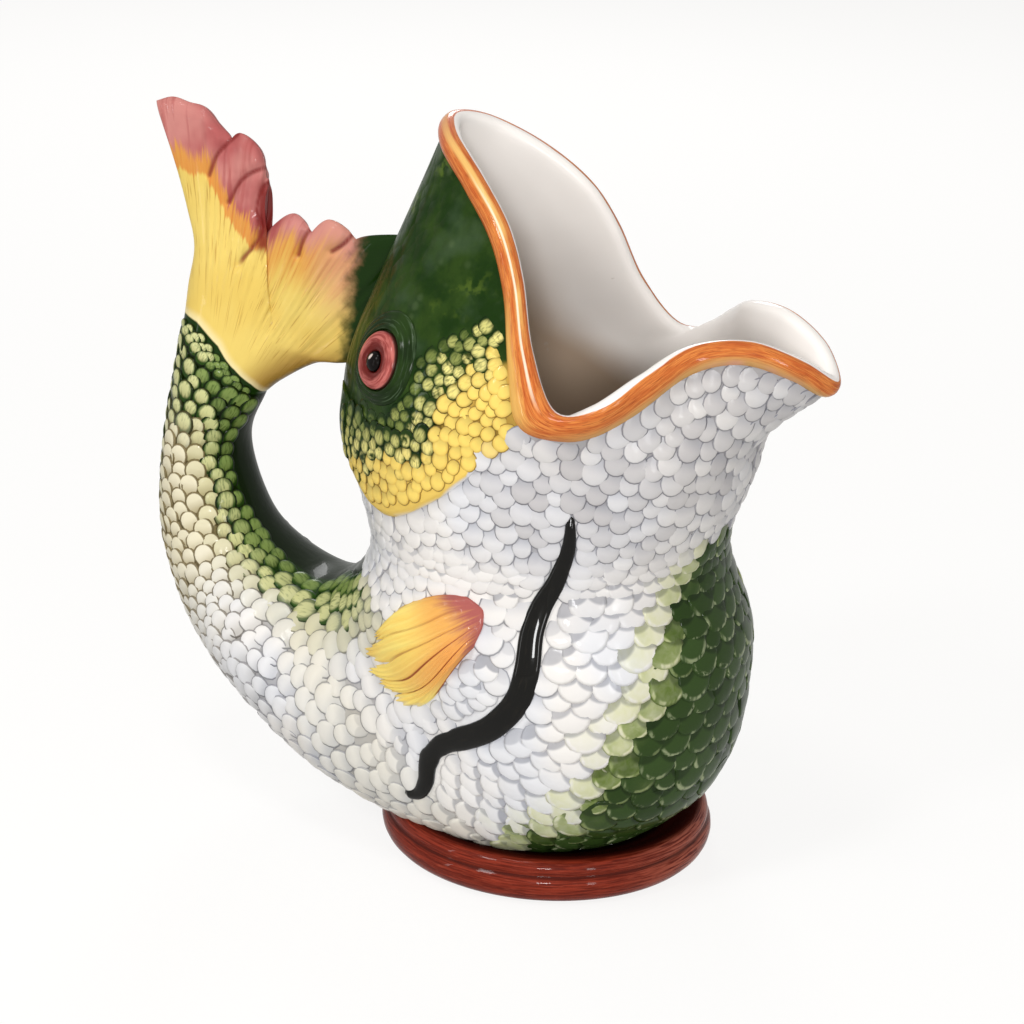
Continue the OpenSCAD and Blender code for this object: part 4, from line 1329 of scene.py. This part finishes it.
def pebble_gap(turn, down):
    # how far apart the pebbles lie, in millimetres
    head = np.where(cheek(turn, down), 3.8, 5.5)
    return np.where(down < 2.9, head, 4.9 + 1.9 * smooth(down, 4.2, 5.2) * (1 - smooth(down, 6.2, 8.4)))


def candidates(start, end, seed):
    # spots scattered evenly over half the skin
    rng = np.random.default_rng(seed)
    turn, down = rng.uniform(0, 180, TRIES), rng.uniform(start, end, TRIES)
    across = skin(turn + 0.5, down) - skin(turn - 0.5, down)
    along = skin(turn, np.minimum(down + 0.02, LAST)) - skin(turn, np.maximum(down - 0.02, 0))
    area = np.linalg.norm(np.cross(across, along), axis=1)
    even = rng.uniform(0, 1, TRIES) * area.max() < area
    return turn[even], down[even]


# %% Spread the pebbles
PEBBLE_LENGTH = 0.76
ROW_CROWD, PEBBLE_CROWD = 0.52, 0.84


def apart(points, gap):
    # the points that keep their distance from all those kept before them
    kept = []
    for k in range(len(points)):
        if not kept or np.linalg.norm(points[kept] - points[k], axis=1).min() > gap[k]:
            kept.append(k)
    return kept


def with_sizes(turn, down):
    gap = pebble_gap(turn, down)
    return np.stack([turn, down, gap, gap * PEBBLE_LENGTH], 1)


def scatter(turn, down):
    # pick spots that keep their distance, then move each to the middle of its own patch a few times
    points, spot = skin(turn, down), np.stack([turn, down], 1)
    middle = spot[apart(points, PEBBLE_CROWD * pebble_gap(turn, down))]
    for _ in range(5):
        place = skin(*middle.T)
        own = np.array([np.linalg.norm(place - p, axis=1).argmin() for p in points])
        total = np.maximum(np.bincount(own, minlength=len(middle)), 1)
        middle = np.stack([np.bincount(own, spot[:, k], len(middle)) / total for k in (0, 1)], 1)
    return with_sizes(*middle.T)


def pebble_places(start, end, seed):
    turn, down = candidates(start, end, seed)
    zone = pebbles(turn, down) > 0.5
    turn, down = turn[zone], down[zone]
    fit = clear_spots(with_sizes(turn, down))
    return scatter(turn[fit], down[fit])


# %% Spots that take a scale
CROWN_LINE = [(97, 0), (110, 0.1), (114, 0.2), (118, 0.45), (122, 0.8), (126, 1.35), (134, 1.8), (142, 2),
              (180, 2.1)]


def clear_spots(half):
    # true where the jug is not smooth
    turn, down, wide, near = half.T
    points = skin(turn, down)
    eye = np.linalg.norm(points - skin(EYE_TURN, EYE_DOWN), axis=1)
    gill, _ = gill_share(turn, down)
    radius = np.hypot(points[:, 0], points[:, 1])
    joint = np.abs(points[:, 1]) < 4.5 + 6 * smooth(down, 1.2, 2)
    good = down > lip_edge(turn) + 0.3 * near / np.maximum(row_spacing(turn, down), 1)
    good &= flank_line_gap(points) > 0.22 * wide
    good &= (eye > BROW_D / 2 + 1.5) & (side_fin_gap(points) > 0.8)
    good &= bare_skin(turn, down) * (down > 3) * (turn > 140) < 0.5
    good &= ~((radius < 51) & (points[:, 2] < 14)) & ~((turn > 150) & (down > 0.8) & (down < 2) & joint)
    return good & ~((gill > 0.84) & (turn > 92)) & on_cheek(turn, down)


def cheek(turn, down):
    # the small scales of the gill cover and of the green cheek over it
    return (turn > 86) & (down < np.interp(turn, *zip(*GILL_LINE)))


def on_cheek(turn, down):
    # false on the smooth part of the head above the cheek
    crown = np.interp(turn, *zip(*CROWN_LINE)) + 0.1 * np.sin(turn * 0.9)
    return ~cheek(turn, down) | ((down > crown) & (turn < 146))


# %% All places
def rows_and_pebbles(start, end, target, seed):
    rows = places(start, end, target)
    rows = rows[pebbles(rows[:, 0], rows[:, 1]) <= 0.5]
    rows = rows[clear_spots(rows)]
    rows = rows[apart(skin(rows[:, 0], rows[:, 1]), ROW_CROWD * rows[:, 2])]
    return np.concatenate([rows, pebble_places(start, end, seed)])


HEAD_PLACES = rows_and_pebbles(0.2, 3.0, 3.7, 3)
BODY_PLACES = rows_and_pebbles(3.0, 8.0, 4.8, 5)
TAIL_PLACES = rows_and_pebbles(8.0, 10.93, 4.0, 9)
print("places on half the fish:", len(HEAD_PLACES), len(BODY_PLACES), len(TAIL_PLACES))

# %% Glaze of the scales
def scale_glaze():
    g = Glaze("scale_paint")
    rim = g.value("rim")
    tone = g.value("tone")
    x, y, _ = g.read("local")
    far = x.squared() + y.squared()
    hair = g.noise(1, 3, g.vector(x * 9 + tone * 60, y * 2.5 + tone * 31), 0.5)
    broken = g.noise(1, 2, g.vector(x * 3.5 + tone * 47, tone * 23))
    free = g.span(far, 0.12, 0.17, 0.2, 0.235) * g.step(y, 0.02, 0.22) * g.step(broken, 0.4, 0.56)
    dab = g.fall((x / 0.42).squared() + ((y - 0.08) / 0.42).squared(), 0.15, 1)
    dab = dab * (0.45 + g.step(hair, 0.34, 0.56) * 0.55)
    paint = fish_paint(g, g.fall(rim, 0.2, 0.85), tone, free, dab)
    _, down, pebble = g.read("spot")
    tailward = g.step(down, 0.62, 0.8)
    # the two scales that overlap this one are ovals, and painted shade lies along their edges;
    # the rim of each scale is also painted darker, as painted shade where it meets the skin
    oval = ((x.math("ABSOLUTE") - 0.417) / 0.5).squared() + ((y + 0.476) / 0.5).squared()
    shade_patchiness = g.noise(140, 2)
    shade_under_edges = g.fall(oval, 0.95, 1.34) * (1 - pebble) * (0.55 + shade_patchiness * 0.7)
    line = g.mix(tailward, (0.5, 0.51, 0.55, 1), (0.24, 0.2, 0.12, 1))
    edge = g.step(rim + pebble * (0.26 + tailward * 0.14), 0.86, 1) * (0.6 + pebble * 0.35)
    paint = g.mix(shade_under_edges.most(edge), paint, line, "MULTIPLY")
    # the covered end lies a little in the shade
    covered = g.fall(y, -0.42, 0.16) * pebble * (0.5 + shade_patchiness * 0.8)
    shade = g.mix(tailward, (0.72, 0.74, 0.79, 1), (0.66, 0.62, 0.52, 1))
    paint = g.mix(covered, paint, shade, "MULTIPLY")
    paint = g.mix(tone * 0.5, paint, (0.87, 0.87, 0.88, 1), "MULTIPLY")
    return g.finish(paint, 0.24 + g.noise(70, 2) * 0.12, g.noise(260, 3), 0.18)


SCALE_GLAZE = scale_glaze()

# %% Scales on the skin
SCALE_SINK = 0.1


def skin_scales(half):
    other = half[(half[:, 0] > 2) & (half[:, 0] < 178)].copy()
    bare = bare_skin(np.minimum(other[:, 0] + FAR_SHIFT, 180), other[:, 1])
    other = other[(bare < 0.5) | (other[:, 1] < 3.5) | (other[:, 0] < FAR_FROM)]
    other[:, 0] = 360 - other[:, 0]
    turn, down, wide, near = np.concatenate([half, other]).T
    at = fold(turn)
    _, base = gill_share(at, down)
    normal = outward(turn, down)
    flow = skin(turn, down + 0.03) - skin(turn, down - 0.03)
    flow = unit(flow - (flow * normal).sum(-1)[:, None] * normal)
    crown_line = np.interp(at, [97, 104, 116, 131, 180], [0.2, 1.2, 1.75, 1.95, 2])
    crown = smooth(at, 100, 110) * smooth(crown_line - down, 0, 0.5)
    high = (0.3 + 0.065 * wide) * (1 - 0.7 * crown)
    pebble = pebbles(at, down)
    long = np.maximum(near * 2.1, wide * 1.05) * (1 - pebble) + near * 2 * pebble
    size = np.stack([wide * (1.2 + 0.16 * pebble), long, high * (1 + 0.4 * pebble)], 1)
    here = skin(at, down)
    beside = 1 - smooth(np.minimum(flank_line_gap(here), side_fin_gap(here)), 3, 7)
    spot = np.stack([painted_turn(turn, down) / 180, down / LAST, np.maximum(pebble, beside)], 1)
    return [skin(turn, down) + (base - SCALE_SINK)[:, None] * normal, normal, flow, size, spot]


# %% Scales on the root of the fin
ROOT_STEP = 0.033


def fin_root_scales():
    # the scales run on over the joint, a few rows up the root of the fin
    def side(s, r):
        flat = fin_at(s, r)
        return np.stack([flat[..., 0], -fin_half(s, r), flat[..., 1]], -1)

    angle, r = np.meshgrid(np.linspace(14, 166, 14), np.arange(0.015, 0.14, ROOT_STEP), indexing="ij")
    angle = angle + 5.5 * (np.round(r / ROOT_STEP) % 2)
    s = (1 - np.cos(np.radians(angle))) / 2
    keep = r < fin_seam(s) - 0.045
    angle, s, r = angle[keep], s[keep], r[keep]
    across, along = side(s + 0.004, r) - side(s - 0.004, r), side(s, r + 0.004) - side(s, r - 0.004)
    normal = unit(np.cross(across, along))
    normal = normal * np.where(normal[:, 1:2] > 0, -1, 1)
    size = np.tile((4.8, 4.2, 0.9), (len(s), 1))
    spot = np.stack([angle / 180, np.full(len(s), 0.985), np.ones(len(s))], 1)
    one = [side(s, r) - SCALE_SINK * normal, normal, unit(along), size, spot]
    flip = np.array((1, -1, 1))
    return [np.concatenate([a, a * flip if k < 3 else a]) for k, a in enumerate(one)]


print("scales on the root of the fin:", len(fin_root_scales()[0]))

# %% Lay the scales
SCALE_LOOK = {"Scale": SCALE, "Relief": 1.0, "Size difference": 0.16, "Lean": 0.28, "Glaze": SCALE_GLAZE}


def lay(name, laid, slot, seed):
    place, normal, flow, size, spot = laid
    marks = new_mesh(name + "_places", place * MM, [], out=normal, flow=flow, size=size * MM, spot=spot)
    holder = bpy.data.objects.new(name + "_places", marks)
    scene.collection.objects.link(holder)
    modifier = holder.modifiers.new("scales", "NODES")
    modifier.node_group = LAY_SCALES
    values = {**SCALE_LOOK, "Seed": seed}
    for item in LAY_SCALES.interface.items_tree:
        if item.in_out == "INPUT" and item.name in values:
            modifier[item.identifier] = values[item.name]
    graph = bpy.context.evaluated_depsgraph_get()
    done = holder.evaluated_get(graph)
    mesh = bpy.data.meshes.new_from_object(done, preserve_all_data_layers=True, depsgraph=graph)
    bpy.data.objects.remove(holder)
    for key in ("out", "flow", "size"):
        if key in mesh.attributes:
            mesh.attributes.remove(mesh.attributes[key])
    mesh.name = name
    set_out(name, mesh, slot)


lay("head_scales", skin_scales(HEAD_PLACES), "head_glaze", 11)
lay("body_scales", skin_scales(BODY_PLACES), "body_glaze", 23)
upper = [np.concatenate(both) for both in zip(skin_scales(TAIL_PLACES), fin_root_scales())]
lay("tail_scales", upper, "tail_glaze", 37)
bpy.data.objects.remove(SCALE)

# %% [markdown]
# ## Floor and light
# Catalogue pictures stand the jug on white and light it with large soft boxes. The floor is pale and keeps
# the jug's shadow. The world is seen as white by the camera and in reflections, and lights the jug only
# gently.

# %% Floor
FLOOR_HALF = 4


def seen(g):
    # 1 for what the camera sees, straight on or in a reflection
    path = g.node("ShaderNodeLightPath")
    return path.out("Is Camera Ray").most(path.out("Is Glossy Ray")).most(path.out("Is Transmission Ray"))


def make_floor():
    corners = [(x * FLOOR_HALF, y * FLOOR_HALF, 0) for x, y in ((-1, -1), (1, -1), (1, 1), (-1, 1))]
    mesh = bpy.data.meshes.new("floor")
    mesh.from_pydata(corners, [], [(0, 1, 2, 3)])
    material = bpy.data.materials.new("pale_floor")
    material.use_nodes = True
    g = Bench(material.node_tree)
    grain = g.node("ShaderNodeTexNoise", {}, {"Scale": 3.0}).out("Fac")
    matt = g.node("ShaderNodeBsdfDiffuse", {}, {"Color": (0.5, 0.5, 0.495, 1)}).out()
    thin = g.node("ShaderNodeBsdfDiffuse", {}, {"Color": (0.15, 0.15, 0.146, 1)}).out()
    glow = g.node("ShaderNodeEmission", {}, {
        "Color": (0.985, 0.978, 0.97, 1), "Strength": 0.87 + grain * 0.01}).out()
    both = g.node("ShaderNodeAddShader", {}, {0: thin, 1: glow}).out()
    shown = g.node("ShaderNodeMixShader", {}, {0: seen(g), 1: matt, 2: both}).out()
    g.node("ShaderNodeOutputMaterial", {}, {"Surface": shown})
    mesh.materials.append(material)
    floor = bpy.data.objects.new("floor", mesh)
    scene.collection.objects.link(floor)


make_floor()
print("floor:", 2 * FLOOR_HALF, "m wide")

# %% World
def make_world():
    world = bpy.data.worlds.new("white_studio")
    world.use_nodes = True
    scene.world = world
    g = Bench(world.node_tree)
    gentle = g.node("ShaderNodeBackground", {}, {"Color": (1, 0.985, 0.97, 1), "Strength": 0.3}).out()
    white = g.node("ShaderNodeBackground", {}, {"Color": (0.965, 0.965, 0.955, 1), "Strength": 1.0}).out()
    shown = g.node("ShaderNodeMixShader", {}, {0: seen(g), 1: gentle, 2: white}).out()
    g.node("ShaderNodeOutputWorld", {}, {"Surface": shown})


make_world()
print("world:", scene.world.name)

# %% Lamps
LAMPS = {
    "key_box": ((-0.45, -1.0, 1.1), (0.24, 0.24), 5.4),
    "front_box": ((0.55, -1.35, 0.5), (0.24, 0.24), 10),
    "top_box": ((-0.1, -0.35, 1.3), (0.3, 0.3), 3.2),
    "back_box": ((-0.6, 1.2, 0.8), (0.4, 0.4), 6),
    "side_box": ((1.0, -0.75, 0.2), (0.12, 0.4), 2.8),
    "strip_box": ((-0.85, -0.9, 0.25), (0.06, 0.6), 1.2)}
LAMP_AIM = Vector((0, 0, 0.11))


def soft_box(name, place, size, power):
    light = bpy.data.lights.new(name, "AREA")
    light.shape = "RECTANGLE"
    light.size, light.size_y = size
    light.energy = power
    lamp = bpy.data.objects.new(name, light)
    lamp.location = place
    lamp.rotation_euler = (LAMP_AIM - Vector(place)).to_track_quat("-Z", "Y").to_euler()
    scene.collection.objects.link(lamp)


for name, lamp in LAMPS.items():
    soft_box(name, *lamp)
print("stage set:", len(LAMPS), "lamps")
